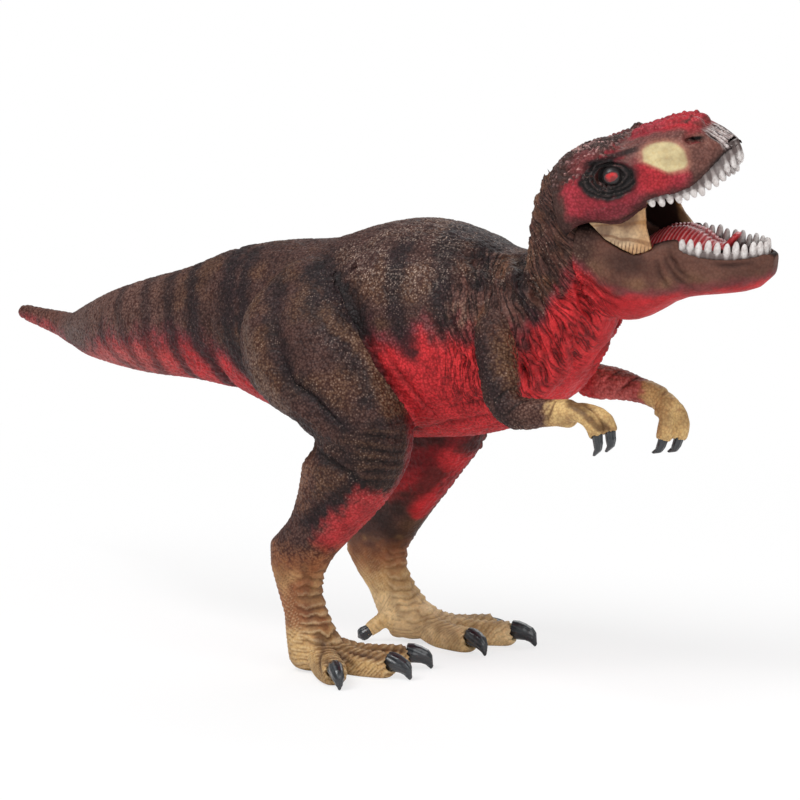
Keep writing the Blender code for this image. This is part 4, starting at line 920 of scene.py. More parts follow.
# %% Paint the arms
def paint_arm(node, side, wrist_x):
    coat = Paint(clay[node], BROWN)
    points, normals = coat.points, coat.normals
    coat.spray(STRIPE, coat.beside([(72, 88), (76, 80), (81, 74), (85, 69), (88, 66)], 1.0, 4.5) * 0.75)
    coat.spray(OCHRE_BROWN, coat.beside([(80, 88), (83, 80), (86, 76)], 1.0, 4.5) * 0.9)
    inner = soft(normals[:, 1] * side, 0.1, -0.5)
    coat.spray(RED, inner * 0.8)
    if side > 0:
        # Painted light: pale pink on the lower front of the left arm lightens its red in the shade under the
        # chest.
        coat.spray("#d86a66", soft(points[:, 0], 76, 80) * soft(points[:, 2], 90, 80) * 0.85)
        coat.spray(OCHRE_BROWN, soft(normals[:, 2], 0.3, 0.8) * 0.5)
    fore = soft(points[:, 0], wrist_x - 14, wrist_x - 6)
    coat.spray(WARM_BROWN, fore * (0.3 if side > 0 else 0.8))
    hand = soft(points[:, 0] + (coat.grit - 0.5) * 3, wrist_x - 3, wrist_x + 1)
    coat.spray(TAN, hand)
    coat.spray(TAN_BROWN, hand * soft(coat.grit, 0.6, 0.95) * 0.4)
    between = [(wrist_x + 4, 73), (wrist_x + 9, 71), (wrist_x + 14, 67)]
    coat.spray(FOOT_WASH, hand * coat.beside(between, 0.2, 1.0) * 0.8)
    coat.wash(node)
    whole = Paint(clay[node], BROWN)
    body_colours(whole)
    shoulder = soft(points[:, 2] + 3 * (coat.cloud - 0.5), 84, 92)[:, None]
    coat.colour = whole.colour * shoulder + coat.colour * (1 - shoulder)
    coat.dry = (0.3 + 0.3 * soft(coat.cloud, 0.35, 0.65)) * (1 - hand)
    coat.dry *= 0.4 if side > 0 else 1.0
    coat.pebble = 1 - 0.6 * np.maximum(hand, 0.8 if side > 0 else 0.0)
    coat.store()


paint_arm("right_arm", -1, 96.5)
paint_arm("left_arm", 1, 92.0)

# %% [markdown]
# ## Paint on the head
# The head carries the most paint: red cheeks and brow, a cream patch on the snout, black round the
# eyes, grey streaks on the nose and dark lips. Each mask is a soft edge on a measure in the head's
# own frame, roughened by the same grit as the rest, so that none of them looks cut with a knife.

# %% Paint the skull
MUZZLE_RED, PATCH = "#a8323f", (24.6, 15.0)
LIP = ([-4, 0, 5, 10, 14, 18, 25, 30, 36, 40], [7, 7.4, 5.4, 3.7, 5, 7, 5.6, 6.7, 10, 11.2])
PALATE_HALF = ([-8, 0, 14, 25, 37], [13.3, 13.3, 12, 8.5, 3])


def patch_measure(a, b):
    """1 on the edge of the pale patch: flat on top, its lower rear corner cut away."""
    u, v = a - PATCH[0], b - PATCH[1] + 0.28 * (a - PATCH[0])
    oval = (np.abs(u / 4.7) ** 2.8 + np.abs(v / 3.5) ** 2.8) ** (1 / 2.8)
    return np.maximum(oval, (-0.6 * u - 0.8 * v) / 3.0)


def paint_skull():
    coat = Paint(clay["skull"], BROWN)
    local, facing = within(coat.points, HEAD), coat.normals @ np.array(HEAD.to_3x3())
    a, y, b = local.T
    wild = (coat.grit - 0.5) * 1.8 + (coat.cloud - 0.5) * 2
    top = soft(facing[:, 2], 0.2, 0.6)
    flank = soft(np.abs(facing[:, 1]), 0.15, 0.5)
    lip = np.interp(a, *LIP)
    red = soft(a + wild, -3.0, 0.0) * soft(a + wild, 30.0, 26.5)
    red *= soft(b + wild - 0.35 * (a - 10), 21.5, 19.0)
    coat.spray(MUZZLE_RED, red * flank)
    coat.spray(PURPLE_RED, red * flank * soft(b + wild, 11, 8) * soft(a, 19, 15) * 0.7)
    coat.spray(BRIGHT_RED, red * flank * soft(np.hypot(a - 21, b - 12), 6, 2) * 0.55)
    brow = soft(np.abs(b + wild * 0.5 - 18.2), 1.8, 0.6)
    coat.spray("#7a4640", brow * soft(a, 14, 17) * soft(a, 31, 28) * 0.85)
    crest = soft(np.abs(y) + wild, 8.0, 5.5)
    coat.spray("#7a4f49", top * soft(a + wild, 12, 16) * soft(a, 31, 28) * 0.85)
    nose_top = top * crest * soft(a + wild * 0.6, 14, 17) * soft(a, 34.5, 32)
    coat.spray(MUZZLE_RED, nose_top * soft(b, 17.5, 19))
    coat.spray(BRIGHT_RED, top * crest * soft(np.abs(a - 28), 5, 2) * 0.5)
    coat.spray("#a83a3e", soft(np.hypot(a - 32, b - 17.5), 3.2, 1.2) * 0.7)
    coat.spray("#42302d", top * soft(a + wild, 15, 12) * 0.9)
    temple = soft(np.hypot((a - 6) / 1.6, b - 20.5), 3.6, 1.5)
    coat.spray("#8a3f42", temple * soft(np.abs(y), 6, 9) * 0.7)
    tips, chance = knobs(local, 1.25, 21)
    brushed = top * soft(a + wild, 14.5, 12) * soft(tips, 0.70, 0.90) * (0.35 + 0.65 * chance)
    coat.spray("#d9aaa6", brushed * soft(a, -5, 0))
    coat.spray("#7a5148", soft(a + wild, 28.5, 31.0) * soft(b, 18.5, 16.5) * flank)
    coat.spray("#3f2723", soft(b + wild * 0.6 - lip, 3.2, 0.6) * 0.85)
    patch = patch_measure(a, b)
    coat.spray("#b27a66", soft(patch + wild * 0.06, 1.35, 1.0) * flank * 0.7)
    coat.spray(CREAM, soft(patch + wild * 0.04, 1.08, 0.86) * flank)
    ring = socket_measure(local)
    coat.spray(SOCKET_BLACK, soft(ring + wild * 0.14, 1.22, 0.86) * flank * soft(a, -1, 1))
    coat.spray("#5a4c4b", soft(lid_wave(local), 0.7, 1.0) * soft(ring, 1.05, 0.85) * flank * 0.4)
    streak = soft(np.abs(b - 19.6 + 0.06 * (a - 10)), 1.0, 0.3) * soft(a, 5, 8) * soft(a, 21, 18)
    coat.spray(SOCKET_BLACK, streak * flank * 0.85)
    nostril = np.hypot((a - 31.7) / 1.5, (b - 16.4 + 0.3 * (a - 31.7)) / 0.5)
    coat.spray("#0d0707", soft(nostril, 1.25, 0.7) * flank)
    front = soft(a + wild * 0.5, 32.5, 34.5) * soft(facing[:, 0] + facing[:, 2], 0.5, 1.0)
    front *= soft(np.abs(y), 6.0, 4.5)
    coat.spray("#2b1c1b", front)
    coat.spray(SNOUT_GREY, front * soft(np.mod(y / 1.25 + 0.35 * wild, 1.0), 0.2, 0.5))
    coat.spray("#1b0f0e", soft(b - lip, 1.6, 0.4) * soft(a, 31, 34))
    palate = soft(np.abs(y) - np.interp(a, *PALATE_HALF), 0.6, -0.2)
    coat.spray(MOUTH_DARK, palate * soft(b - lip, 8, 6) * soft(facing[:, 2], 0.3, 0.0))
    coat.wash("skull", 0.85)
    coat.dry = 0.15 + 0.25 * top + 0.3 * soft(a, -2, -5)
    coat.dry *= 1 - soft(patch, 1.4, 1.0)
    coat.pebble = 0.55 - 0.45 * soft(patch, 1.3, 0.9) - 0.4 * soft(ring, 1.2, 1.0)
    coat.store()


# %% Paint the lower jaw
JAW_LIP = ([-6, -3, 0, 4, 7, 10, 13, 16, 20, 25, 31, 38], [3, 6, 5, 2.6, 1.2, .8, 2.3, 4.4, 3.3, 2.2, 2.6, 4])
JAW_RED = ([-6, -1, 2, 7, 14, 25, 34, 40], [-4.5, -6.5, -8.6, -10.6, -9.8, -6.8, -5.0, -2.8])
MOUTH_HALF = ([-6, 14, 25, 34, 40], [11, 10.5, 7.5, 4.5, 1.5])


def paint_jaw():
    coat = Paint(clay["lower_jaw"], "#684539")
    local, facing = within(coat.points, JAW), coat.normals @ np.array(JAW.to_3x3())
    a, y, b = local.T
    wild = (coat.grit - 0.5) * 1.2 + (coat.cloud - 0.5) * 1.5
    lip, under = np.interp(a, *JAW_LIP), np.interp(a, *JAW_RED)
    coat.spray("#77553f", soft(coat.cloud, 0.4, 0.7) * soft(b - lip, -3, -6) * 0.9)
    coat.spray(DEEP_BROWN, soft(np.hypot((a - 7.5) / 1.8, b + 1.5), 4.5, 1.0) * 0.6)
    coat.spray(DEEP_BROWN, soft(b + wild - lip, -2.6, -0.8) * soft(a, 12, 16) * 0.15)
    rear = soft(a + wild, 3, -3)
    coat.spray("#4c362f", rear * 0.85)
    coat.spray(PURPLE_RED, soft(b + wild - under, 4.0, 1.5) * 0.7)
    coat.spray(BRIGHT_RED, soft(b + wild - under, 2.2, -0.5))
    floor = soft(np.abs(y) - np.interp(a, *MOUTH_HALF), 0.8, -0.3)
    coat.spray(MOUTH_DARK, soft(facing[:, 2], 0.1, 0.5) * floor * soft(b, -7, -5.5))
    coat.wash("lower_jaw", 0.6)
    coat.dry = 0.15 * soft(coat.cloud, 0.4, 0.8) + 0.25 * rear
    coat.pebble = 0.3 + 0.4 * rear
    coat.store()


paint_skull()
paint_jaw()
print("painted castings:", len(clay))

# %% [markdown]
# ## Painted vinyl
# The mould for such a figure is cut from clay stamped with small scales, about 0.6 mm across. A
# Voronoi pattern splits space into such cells: their borders take the dark wash and their tips the
# dry brush. PVC vinyl is a dielectric with an IOR near 1.5. Matt acrylic over it keeps a dull
# sheen. The paint is built up as a painter would: wash first, then fine lines in the loose skin, and
# the dry brush last.

# %% Skin material
SCALE_MM = 0.62
CLOUD_MM, GRAIN_MM, FLECK_MM = 5, 1.6, 0.7
BUMP_MM = 0.22


def scale_wash(tree, place, paint, pebble, cells, chance):
    """Dark wash between the scales, broad clouds of it, and some scales lighter than others."""
    broad = add_node(tree, "ShaderNodeTexNoise",
                     {"Vector": place, "Scale": 1 / (CLOUD_MM * MM), "Detail": 4.0}).outputs["Fac"]
    deep = add_node(tree, "ShaderNodeMapRange", {0: cells, 1: 0.38, 2: 0.70, 3: 0.0, 4: 0.85}).outputs[0]
    gaps = add_node(tree, "ShaderNodeMath", {0: deep, 1: pebble}, operation="MULTIPLY").outputs[0]
    washed = add_node(tree, "ShaderNodeMix", {0: gaps, 6: paint, 7: linear("#8a5a52")},
                      data_type="RGBA", blend_type="MULTIPLY").outputs[2]
    clouds = add_node(tree, "ShaderNodeMapRange", {0: broad, 1: 0.40, 2: 0.60, 3: 0.35, 4: 0.0}).outputs[0]
    washed = add_node(tree, "ShaderNodeMix", {0: clouds, 6: washed, 7: linear("#7d605a")},
                      data_type="RGBA", blend_type="MULTIPLY").outputs[2]
    light = add_node(tree, "ShaderNodeMapRange", {0: chance, 1: 0.55, 2: 1.0, 3: 0.0, 4: 0.30}).outputs[0]
    washed = add_node(tree, "ShaderNodeMix", {0: light, 6: washed, 7: linear("#b0917e")},
                      data_type="RGBA", blend_type="SOFT_LIGHT").outputs[2]
    return washed, broad


def fold_lines(tree, washed):
    """Fine dark lines with pale edges that follow the loose skin's folds."""
    flow = add_node(tree, "ShaderNodeAttribute", attribute_name="flow").outputs["Vector"]
    wrinkled = add_node(tree, "ShaderNodeAttribute", attribute_name="wrinkled").outputs["Fac"]
    fine = add_node(tree, "ShaderNodeTexNoise",
                    {"Vector": flow, "Scale": 1.7, "Detail": 2.0, "Distortion": 0.3}).outputs["Fac"]
    off = add_node(tree, "ShaderNodeMath", {0: fine, 1: 0.5}, operation="SUBTRACT").outputs[0]
    crossing = add_node(tree, "ShaderNodeMath", {0: off}, operation="ABSOLUTE").outputs[0]
    dark = add_node(tree, "ShaderNodeMapRange", {0: crossing, 1: 0.0, 2: 0.05, 3: 0.75, 4: 0.0}).outputs[0]
    lines = add_node(tree, "ShaderNodeMath", {0: dark, 1: wrinkled}, operation="MULTIPLY").outputs[0]
    washed = add_node(tree, "ShaderNodeMix", {0: lines, 6: washed, 7: linear("#6b4a48")},
                      data_type="RGBA", blend_type="MULTIPLY").outputs[2]
    pale = add_node(tree, "ShaderNodeMapRange", {0: crossing, 1: 0.05, 2: 0.12, 3: 0.0, 4: 0.7}).outputs[0]
    crests = add_node(tree, "ShaderNodeMath", {0: pale, 1: wrinkled}, operation="MULTIPLY").outputs[0]
    washed = add_node(tree, "ShaderNodeMix", {0: crests, 6: washed, 7: linear("#fff0e6")},
                      data_type="RGBA", blend_type="SOFT_LIGHT").outputs[2]
    return washed, lines


def dry_brushed(tree, place, washed, dry, cells, chance, broad):
    """Pale flecks, and pale paint on the tips of the scales that the brush met."""
    specks = add_node(tree, "ShaderNodeTexNoise",
                      {"Vector": place, "Scale": 1 / (FLECK_MM * MM), "Detail": 1.0}).outputs["Fac"]
    specks = add_node(tree, "ShaderNodeMapRange", {0: specks, 1: 0.54, 2: 0.68, 3: 0.0, 4: 1.0}).outputs[0]
    most = add_node(tree, "ShaderNodeMapRange", {0: dry, 1: 0.55, 2: 1.0, 3: 0.0, 4: 0.38}).outputs[0]
    flecks = add_node(tree, "ShaderNodeMath", {0: specks, 1: most}, operation="MULTIPLY").outputs[0]
    washed = add_node(tree, "ShaderNodeMix", {0: flecks, 6: washed, 7: linear("#a08d82")},
                      data_type="RGBA", blend_type="MIX").outputs[2]
    tips = add_node(tree, "ShaderNodeMapRange", {0: cells, 1: 0.36, 2: 0.12, 3: 0.0, 4: 1.0}).outputs[0]
    tips = add_node(tree, "ShaderNodeMath", {0: tips, 1: dry}, operation="MULTIPLY").outputs[0]
    met = add_node(tree, "ShaderNodeMath", {0: dry, 1: 0.45, 2: chance}, operation="MULTIPLY_ADD").outputs[0]
    met = add_node(tree, "ShaderNodeMapRange", {0: met, 1: 0.50, 2: 1.1, 3: 0.0, 4: 1.0}).outputs[0]
    tips = add_node(tree, "ShaderNodeMath", {0: tips, 1: met}, operation="MULTIPLY").outputs[0]
    patchy = add_node(tree, "ShaderNodeMapRange", {0: broad, 1: 0.38, 2: 0.60, 3: 0.35, 4: 0.85}).outputs[0]
    tips = add_node(tree, "ShaderNodeMath", {0: tips, 1: patchy}, operation="MULTIPLY").outputs[0]
    return add_node(tree, "ShaderNodeMix", {0: tips, 6: washed, 7: linear("#b8a292")},
                    data_type="RGBA", blend_type="MIX").outputs[2]


def painted_vinyl(name):
    made = bpy.data.materials.new(name)
    made.use_nodes = True
    tree = made.node_tree
    tree.nodes.clear()
    place = add_node(tree, "ShaderNodeTexCoord").outputs["Object"]
    paint = add_node(tree, "ShaderNodeAttribute", attribute_name="paint").outputs["Color"]
    dry = add_node(tree, "ShaderNodeAttribute", attribute_name="dry_brush").outputs["Fac"]
    pebble = add_node(tree, "ShaderNodeAttribute", attribute_name="pebble").outputs["Fac"]
    scales = add_node(tree, "ShaderNodeTexVoronoi", {"Vector": place, "Scale": 1 / (SCALE_MM * MM)})
    cells = scales.outputs["Distance"]
    chance = add_node(tree, "ShaderNodeSeparateColor", {0: scales.outputs["Color"]}).outputs[0]
    wrinkles = add_node(tree, "ShaderNodeTexNoise",
                        {"Vector": place, "Scale": 1 / (GRAIN_MM * MM), "Detail": 3.0,
                         "Distortion": 0.6}).outputs["Fac"]
    washed, broad = scale_wash(tree, place, paint, pebble, cells, chance)
    washed, lines = fold_lines(tree, washed)
    brushed = dry_brushed(tree, place, washed, dry, cells, chance, broad)
    domes = add_node(tree, "ShaderNodeMath", {0: 1.0, 1: cells}, operation="SUBTRACT").outputs[0]
    raised = add_node(tree, "ShaderNodeMath", {0: domes, 1: pebble}, operation="MULTIPLY").outputs[0]
    raised = add_node(tree, "ShaderNodeMath", {0: lines, 1: -1.4, 2: raised},
                      operation="MULTIPLY_ADD").outputs[0]
    raised = add_node(tree, "ShaderNodeMath", {0: wrinkles, 1: 1.2, 2: raised},
                      operation="MULTIPLY_ADD").outputs[0]
    bump = add_node(tree, "ShaderNodeBump", {"Height": raised, "Strength": 0.8, "Distance": BUMP_MM * MM})
    rough = add_node(tree, "ShaderNodeMapRange", {0: wrinkles, 1: 0.3, 2: 0.7, 3: 0.46, 4: 0.66}).outputs[0]
    shader = add_node(tree, "ShaderNodeBsdfPrincipled",
                      {"Base Color": brushed, "Roughness": rough, "Normal": bump.outputs[0], "IOR": 1.5,
                       "Specular IOR Level": 0.22})
    add_node(tree, "ShaderNodeOutputMaterial", {"Surface": shader.outputs[0]})
    return made


def hand_over(piece, node, finish, body):
    """Gives a finished piece its material, smooth shading and place on the model."""
    piece.data.materials.append(finish)
    only(piece)
    bpy.ops.object.shade_smooth()
    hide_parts(node)
    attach(piece, body)


vinyl = painted_vinyl("painted PVC vinyl")
for node, piece in clay.items():
    hand_over(piece, node, vinyl, "jaw" if node == "lower_jaw" else "figure")

# %% [markdown]
# ## Glossy paint for the small parts
# Claws, teeth, tongue, eyes and cheeks get a coat of gloss, which is what makes a mouth look wet
# and a claw look hard. The colour still comes from the airbrushed points.

# %% Gloss material
def gloss(name, roughness, grain_mm, coat):
    made = bpy.data.materials.new(name)
    made.use_nodes = True
    tree = made.node_tree
    tree.nodes.clear()
    place = add_node(tree, "ShaderNodeTexCoord").outputs["Object"]
    paint = add_node(tree, "ShaderNodeAttribute", attribute_name="paint").outputs["Color"]
    grain = add_node(tree, "ShaderNodeTexNoise",
                     {"Vector": place, "Scale": 1 / (grain_mm * MM), "Detail": 3.0}).outputs["Fac"]
    share = add_node(tree, "ShaderNodeMapRange", {0: grain, 1: 0.42, 2: 0.66, 3: 0.0, 4: 0.5}).outputs[0]
    mixed = add_node(tree, "ShaderNodeMix", {0: share, 6: paint}, data_type="RGBA", blend_type="MULTIPLY")
    mixed.inputs[7].default_value = linear("#b9aaa6")
    bump = add_node(tree, "ShaderNodeBump", {"Height": grain, "Strength": 0.35, "Distance": 0.12 * MM})
    shader = add_node(tree, "ShaderNodeBsdfPrincipled",
                      {"Base Color": mixed.outputs[2], "Roughness": roughness,
                       "Normal": bump.outputs[0], "IOR": 1.5, "Coat Weight": coat,
                       "Coat Roughness": 0.2})
    add_node(tree, "ShaderNodeOutputMaterial", {"Surface": shader.outputs[0]})
    return made


claw_gloss = gloss("slate gloss enamel on claws", 0.28, 0.9, 0.5)
tooth_gloss = gloss("off-white tooth enamel", 0.38, 0.8, 0.15)
tongue_gloss = gloss("red lacquer on the tongue", 0.38, 0.9, 0.2)
eye_gloss = gloss("gloss lacquer on the eye", 0.42, 1.5, 0.1)
cheek_gloss = gloss("satin on the cheek skin", 0.45, 0.7, 0.1)
pin_satin = gloss("grey nylon pin", 0.45, 2.0, 0.0)

# %% [markdown]
# ## Teeth
# The casting's saw-edged gum rows say where each tooth stands. Each tooth is a blunt cone that
# narrows a little from its root and ends round, and the row is remeshed into one moulding with its
# gum, as if both came from one mould.

# %% Teeth on their gums
TOOTH_MM, TOOTH_WIDE, TOOTH_THICK = 3.3, 0.98, 0.85
TIP_REACH, TIP_SPACING = 0.85, 1.25
TOOTH_SIDES = 14
TOOTH_RINGS = (-0.45, 0.0, 0.25, 0.5, 0.7, 0.85, 0.94, 0.985)
# Forward from the hinge, in mm, and the share of the full length that a tooth has there
LENGTH_SHARES = ([15, 22, 30, 38], [0.7, 0.85, 0.95, 1.0])
UPPER_SHARE = 0.8
ROW_PLACES = {"upper_teeth": (HEAD, -1, "figure"), "lower_teeth": (JAW, 1, "jaw")}


def tooth_tips(local, up):
    """Each tooth's tip: a point with nothing higher near it, clear of the tips found before."""
    tips = []
    for point in local[np.argsort(-up * local[:, 2])]:
        if all(np.hypot(*(point - tip)[:2]) > TIP_SPACING for tip in tips):
            near = np.hypot(*(local[:, :2] - point[:2]).T) < TIP_REACH
            top = local[near & (up * local[:, 2] > up * point[2] - 0.06)]
            if (up * local[near, 2]).max() <= up * point[2] + 0.01:
                tips.append(top.mean(axis=0))
    return np.array(tips)


def tooth_mesh(shape, tip, along, up, length):
    """A blunt cone from below the gum to the tip, wider along the row."""
    across = np.cross(along, (0, 0, 1))
    rings = []
    for share in TOOTH_RINGS:
        swell = math.sqrt(max(1 - max(share, 0.0) ** 4, 0.0)) * (1 - 0.22 * max(share, 0))
        centre = tip - np.array((0, 0, up * length * (1 - share)))
        rings.append([shape.verts.new(centre + swell * (TOOTH_WIDE * math.cos(turn) * along
                                                        + TOOTH_THICK * math.sin(turn) * across))
                      for turn in np.linspace(0, 2 * math.pi, TOOTH_SIDES, endpoint=False)])
    for low, high in zip(rings, rings[1:]):
        for k in range(TOOTH_SIDES):
            after = k - TOOTH_SIDES + 1
            shape.faces.new((low[k], low[after], high[after], high[k]))
    shape.faces.new(rings[0][::-1])
    shape.faces.new(rings[-1])


def finish_teeth(node):
    place, up, body = ROW_PLACES[node]
    gum = clay_copy(node, node + "_gum", 0.15, 0)
    local = within(points_of(gum), place)
    tips = tooth_tips(local, up)
    order = np.argsort(np.arctan2(tips[:, 1], tips[:, 0] - 12))
    tips = tips[order]
    steps = np.linalg.norm(local[:, None, :2] - tips[None, :, :2], axis=2)
    nearest = steps.argmin(axis=1)
    lengths = TOOTH_MM * np.interp(tips[:, 0], *LENGTH_SHARES) * (UPPER_SHARE if up < 0 else 1.0)
    roots = up * tips[:, 2] - lengths
    local[:, 2] = up * np.minimum(up * local[:, 2], roots[nearest] + 0.35)
    set_points(gum, local)
    shape = bmesh.new()
    for i, tip in enumerate(tips):
        ahead = tips[min(i + 1, len(tips) - 1)] - tips[max(i - 1, 0)]
        ahead[2] = 0
        tooth_mesh(shape, tip, ahead / np.linalg.norm(ahead), up, lengths[i])
    teeth = bpy.data.objects.new(node + "_cones", bpy.data.meshes.new(node))
    bpy.context.scene.collection.objects.link(teeth)
    shape.normal_update()
    shape.to_mesh(teeth.data)
    set_points(teeth, points_of(teeth) * MM)
    only(gum)
    teeth.select_set(True)
    bpy.ops.object.join()
    shape_with(gum, "REMESH", mode="VOXEL", voxel_size=0.13 * COARSER * MM)
    shape_with(gum, "SMOOTH", factor=0.5, iterations=2)
    local = points_of(gum)
    steps = np.linalg.norm(local[:, None, :2] - tips[None, :, :2], axis=2)
    nearest = steps.argmin(axis=1)
    rise = up * local[:, 2] - roots[nearest]
    set_points(gum, turned(local, place))
    gum.name = node + "_finished"
    coat = Paint(gum, "#d9d3d0")
    coat.spray("#8b7c78", soft(rise + (coat.grit - 0.5), 0.5, -0.6) * 0.75)
    # Painted shade: dark brown in the gaps between the teeth, low down where they crowd together.
    coat.spray("#4e3c39", soft(steps.min(axis=1), 0.75, 1.0) * soft(rise, 3.0, 0.6) * 0.85)
    coat.spray("#3b2b28", soft(rise, -1.2, -2.4) * 0.8)
    coat.spray("#b9b2ae", soft(coat.grit, 0.6, 0.95) * 0.35)
    coat.store()
    hand_over(gum, node, tooth_gloss, body)
    print(node, "teeth:", len(tips), "squares:", len(gum.data.polygons))


for node in ROW_PLACES:
    finish_teeth(node)

# %% [markdown]
# ## Tongue and cheeks
# The tongue is a wet red strip with a groove along it. On the real figure it has a few broad folds,
# and here it has finer ribs across it, which is a simpler wave to work out. Its casting is narrow
# towards the root, so it is widened there and its edges are bent down. The cheek skins are stretched
# webs, ochre with dark streaks that fan out from behind the jaw's hinge. Their castings have the
# right outline, so these are only smoothed and painted.

# %% Tongue
RIB_MM = 0.95


def finish_tongue():
    piece = clay_copy("tongue", "tongue_finished", 0.16, 8)
    points, normals = points_of(piece), normals_of(piece)
    local, facing = within(points, JAW), normals @ np.array(JAW.to_3x3())
    top = soft(facing[:, 2], -0.1, 0.4)
    wave = np.cos((local[:, 0] + 0.25 * np.abs(local[:, 1])) * 2 * math.pi / RIB_MM)
    groove = np.exp(-(local[:, 1] / 0.7) ** 2) * soft(local[:, 0], 29, 26)
    local = within(points + normals * (top * (0.09 * wave - 0.5 * groove))[:, None], JAW)
    local[:, 1] *= 1 + 0.7 * soft(local[:, 0], 29, 22)
    local[:, 2] -= 0.12 * np.clip(np.abs(local[:, 1]) - 1.5, 0, None) ** 1.5
    set_points(piece, turned(local, JAW))
    coat = Paint(piece, "#b3272c")
    coat.spray("#dd9596", top * soft(wave, 0.1, 0.9) * soft(local[:, 0], 29, 26) * (1 - groove) * 0.75)
    # Painted shade: deep red in the groove and on the tongue's underside.
    coat.spray("#6d1216", np.maximum(groove, 0.6 * (1 - top)) * 0.6)
    coat.spray("#c4363b", soft(local[:, 0], 27, 29) * 0.8)
    coat.store()
    hand_over(piece, "tongue", tongue_gloss, "jaw")
    print("tongue, squares:", len(piece.data.polygons))


finish_tongue()

# %% Cheek skins
UMBER = "#5f3417"
CHEEK_EDGE = ([0, 2, 6, 11, 15], [13.0, 14.0, 12.0, 10.4, 10.8])


def finish_cheek(node, side):
    piece = clay_copy(node, node + "_finished", 0.18, 4)
    local = within(points_of(piece), JAW)
    facing = normals_of(piece) @ np.array(JAW.to_3x3())
    a, _, b = local.T
    coat = Paint(piece, "#c99c6c")
    wild = coat.grit - 0.5
    spoke = np.arctan2(b - 4.0, a + 8.0) * 26 + 0.9 * mottle(coat.points, 2.2, 31)
    coat.spray("#dfc6a0", soft(coat.cloud, 0.35, 0.65) * 0.7)
    coat.spray("#8d5f35", soft(np.cos(spoke), 0.55, 0.95) * 0.75)
    streaks = soft(np.cos(a * 2 * math.pi / 0.9 + wild), 0.3, 0.9)
    coat.spray(UMBER, streaks * soft(b + 2 * wild, 3.4, 1.6) * 0.9)
    coat.spray("#b5792f", soft(b, 4, 8) * 0.5)
    coat.spray(UMBER, soft(coat.cloud, 0.55, 0.68) * 0.75)
    # Painted shade: the cheek's inner face, inside the mouth, is very dark brown behind a strip at its front
    # edge; on the far cheek the dark reaches 2 mm further forward.
    inner = soft(facing[:, 1] * side, 0.3, -0.3)
    edge = a - np.interp(b, *CHEEK_EDGE) - (2.0 if side > 0 else 0)
    coat.spray("#2c1710", inner * soft(edge + wild, 0.2, -1.6))
    coat.store()
    hand_over(piece, node, cheek_gloss, "jaw")


finish_cheek("right_cheek_skin", -1)
finish_cheek("left_cheek_skin", 1)

# %% [markdown]
# ## Eyes
# An eye is a small red ball behind a slit. Lids drawn out of the socket's own skin would stretch its
# squares too far at this size, so they are moulded on the eye instead: outside the slit the ball
# stands a little prouder and is painted near black, as the socket is.

# %% Eyes
SLIT_HALF = (1.5, 1.05)


def finish_eye(node, side):
    piece = clay_copy(node, node + "_finished", 0.14, 5)
    local = within(points_of(piece), HEAD)
    centre = np.array((EYE[0], side * EYE[1], EYE[2]))
    off = local - local.mean(axis=0)
    slit = np.hypot(*((off[:, (0, 2)] + EYE[[0, 2]] - SLIT) / SLIT_HALF).T)
    lids = soft(slit, 0.95, 1.1)
    local = centre + off * ((EYE_RADIUS + LID_MM * lids) / np.linalg.norm(off, axis=1))[:, None]
    set_points(piece, turned(local, HEAD))
    coat = Paint(piece, "#c01f22")
    coat.spray("#4a0f12", soft(coat.grit, 0.5, 0.8) * 0.7)
    coat.spray("#3a0d0f", soft(off[:, 0] + 0.5 * off[:, 2], 0.0, -1.2) * 0.8)
    coat.spray("#130c0d", lids)
    coat.store()
    hand_over(piece, node, eye_gloss, "figure")


finish_eye("right_eye", -1)
finish_eye("left_eye", 1)

# %% [markdown]
# ## Claws and pin
# A claw is a curved horn with fine grooves along it and a blunt, safe tip. Its long way is found
# from the spread of its points, so one function serves all twelve, whichever way they point. The
# left foot's outer claw lies behind the middle toe when seen from the camera, so it is set back and
# flattened a little, and the left hind claw follows its toe down. None goes below the ground. The
# pin is a plain rod that stays hidden in the head, so its casting is only smoothed and made grey.

# %% Claws
HIDDEN_CLAW_BACK, HIDDEN_CLAW_LOW = 3.4, 0.75
CLAW_GROOVES, GROOVE_MM = 9, 0.06
GROUND_MM = 0.05


def finish_claw(node):
    piece = clay_copy(node, node + "_finished", 0.16, 4)
    points, normals = points_of(piece), normals_of(piece)
    if node == "left_rear_toe_claw":
        points = drop_rear_toe(points)
    if node == "left_outer_toe_claw":
        points = points * (1, 1, HIDDEN_CLAW_LOW) - (HIDDEN_CLAW_BACK, 0, 0)
    centre = points.mean(axis=0)
    _, _, axes = np.linalg.svd(points - centre, full_matrices=False)
    off = (points - centre) @ axes.T
    turn = np.arctan2(off[:, 2], off[:, 1])
    grooves = np.cos(turn * CLAW_GROOVES)
    ends = []
    for way in (-1, 1):
        at_end = off[:, 0] * way > 0.6 * (off[:, 0] * way).max()
        ends.append(np.hypot(*off[at_end][:, 1:].T).mean())
    tipward = off[:, 0] * (1 if ends[1] < ends[0] else -1)
    tipward = soft(tipward, 0.0, tipward.max())
    blunt = off * np.stack([1 - 0.10 * tipward, 1 + 0.45 * tipward, 1 + 0.45 * tipward], axis=1)
    points = centre + blunt @ axes
    points += normals * (GROOVE_MM * grooves * soft(np.hypot(off[:, 1], off[:, 2]), 0.4, 0.9))[:, None]
    points[:, 2] = np.maximum(points[:, 2], GROUND_MM)
    set_points(piece, points)
    coat = Paint(piece, "#1b1f24")
    coat.spray("#6d7479", soft(grooves, 0.2, 1.0) * soft(normals[:, 2], -0.2, 0.6) * 0.3)
    coat.store()
    hand_over(piece, node, claw_gloss, "figure")


claws = [node for node in frame["nodes"] if node.endswith("claw")]
for node in claws:
    finish_claw(node)
print("claws:", len(claws))

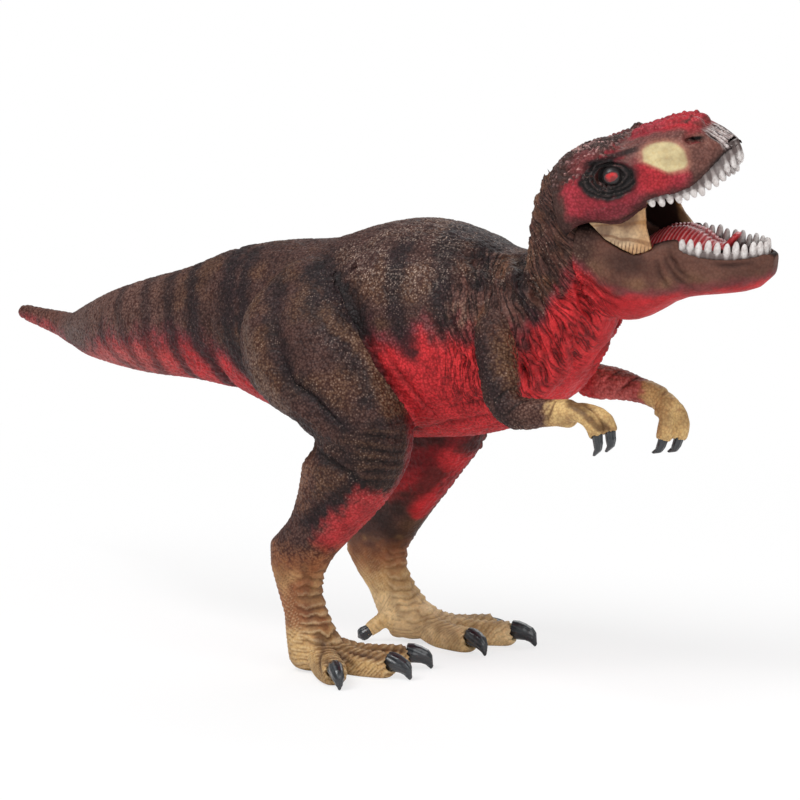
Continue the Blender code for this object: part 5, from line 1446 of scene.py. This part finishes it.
# %% Pin
pin = clay_copy("jaw_pin", "jaw_pin_finished", 0.2, 2)
Paint(pin, "#7c7c7c").store()
hand_over(pin, "jaw_pin", pin_satin, "figure")

# %% [markdown]
# ## The floor and the light
# A catalogue picture is lit from above by large soft lamps in front of plain white paper.

# %% Floor and lights
WORLD_LIGHT = 0.42
LAMP_AIM = (0, 0, 0.08)
# Place in m, size in m and watts
LAMPS = {"key": ((-0.25, -0.85, 1.25), 0.9, 17), "fill": ((1.1, -0.5, 0.55), 0.9, 5),
         "rim": ((-0.2, 1.0, 0.9), 0.8, 4)}


def studio_floor():
    bpy.ops.object.select_all(action="DESELECT")
    bpy.ops.mesh.primitive_plane_add(size=6, location=(0, 0, 0))
    floor = bpy.context.object
    floor.name = "studio_floor"
    bpy.ops.object.transform_apply(location=True, rotation=True, scale=True)
    paper = bpy.data.materials.new("white paper roll")
    paper.use_nodes = True
    tree = paper.node_tree
    tree.nodes.clear()
    path = add_node(tree, "ShaderNodeLightPath")
    matt = add_node(tree, "ShaderNodeBsdfPrincipled",
                    {"Base Color": linear("#f4f4f4"), "Roughness": 0.9, "Specular IOR Level": 0.1})
    glow = add_node(tree, "ShaderNodeEmission", {"Color": linear("#ffffff"), "Strength": 1.0})
    place = add_node(tree, "ShaderNodeTexCoord").outputs["Object"]
    away = add_node(tree, "ShaderNodeVectorMath", {0: place}, operation="LENGTH").outputs["Value"]
    fade = add_node(tree, "ShaderNodeMapRange", {0: away, 1: 0.12, 2: 0.40, 3: 0.70, 4: 1.0},
                    interpolation_type="SMOOTHSTEP").outputs[0]
    seen = add_node(tree, "ShaderNodeMath", {0: path.outputs["Is Camera Ray"], 1: fade},
                    operation="MULTIPLY")
    both = add_node(tree, "ShaderNodeMixShader",
                    {0: seen.outputs[0], 1: matt.outputs[0], 2: glow.outputs[0]})
    add_node(tree, "ShaderNodeOutputMaterial", {"Surface": both.outputs[0]})
    floor.data.materials.append(paper)


def soft_lamp(name, place, size, watts):
    lamp = bpy.data.objects.new(name, bpy.data.lights.new(name, "AREA"))
    bpy.context.scene.collection.objects.link(lamp)
    lamp.data.shape = "SQUARE"
    lamp.data.size = size
    lamp.data.energy = watts
    lamp.location = place
    lamp.rotation_euler = (Vector(LAMP_AIM) - Vector(place)).to_track_quat("-Z", "Y").to_euler()


def studio_world(strength):
    world = bpy.data.worlds.new("studio")
    bpy.context.scene.world = world
    world.use_nodes = True
    tree = world.node_tree
    tree.nodes.clear()
    path = add_node(tree, "ShaderNodeLightPath")
    lit = add_node(tree, "ShaderNodeBackground", {"Color": linear("#ffffff"), "Strength": strength})
    seen = add_node(tree, "ShaderNodeBackground", {"Color": linear("#ffffff"), "Strength": 1.0})
    both = add_node(tree, "ShaderNodeMixShader",
                    {0: path.outputs["Is Camera Ray"], 1: lit.outputs[0], 2: seen.outputs[0]})
    add_node(tree, "ShaderNodeOutputWorld", {"Surface": both.outputs[0]})


studio_floor()
studio_world(WORLD_LIGHT)
for name, lamp in LAMPS.items():
    soft_lamp(name, *lamp)
print("lamps:", ", ".join(LAMPS))
bpy.context.scene.view_settings.view_transform = "Standard"
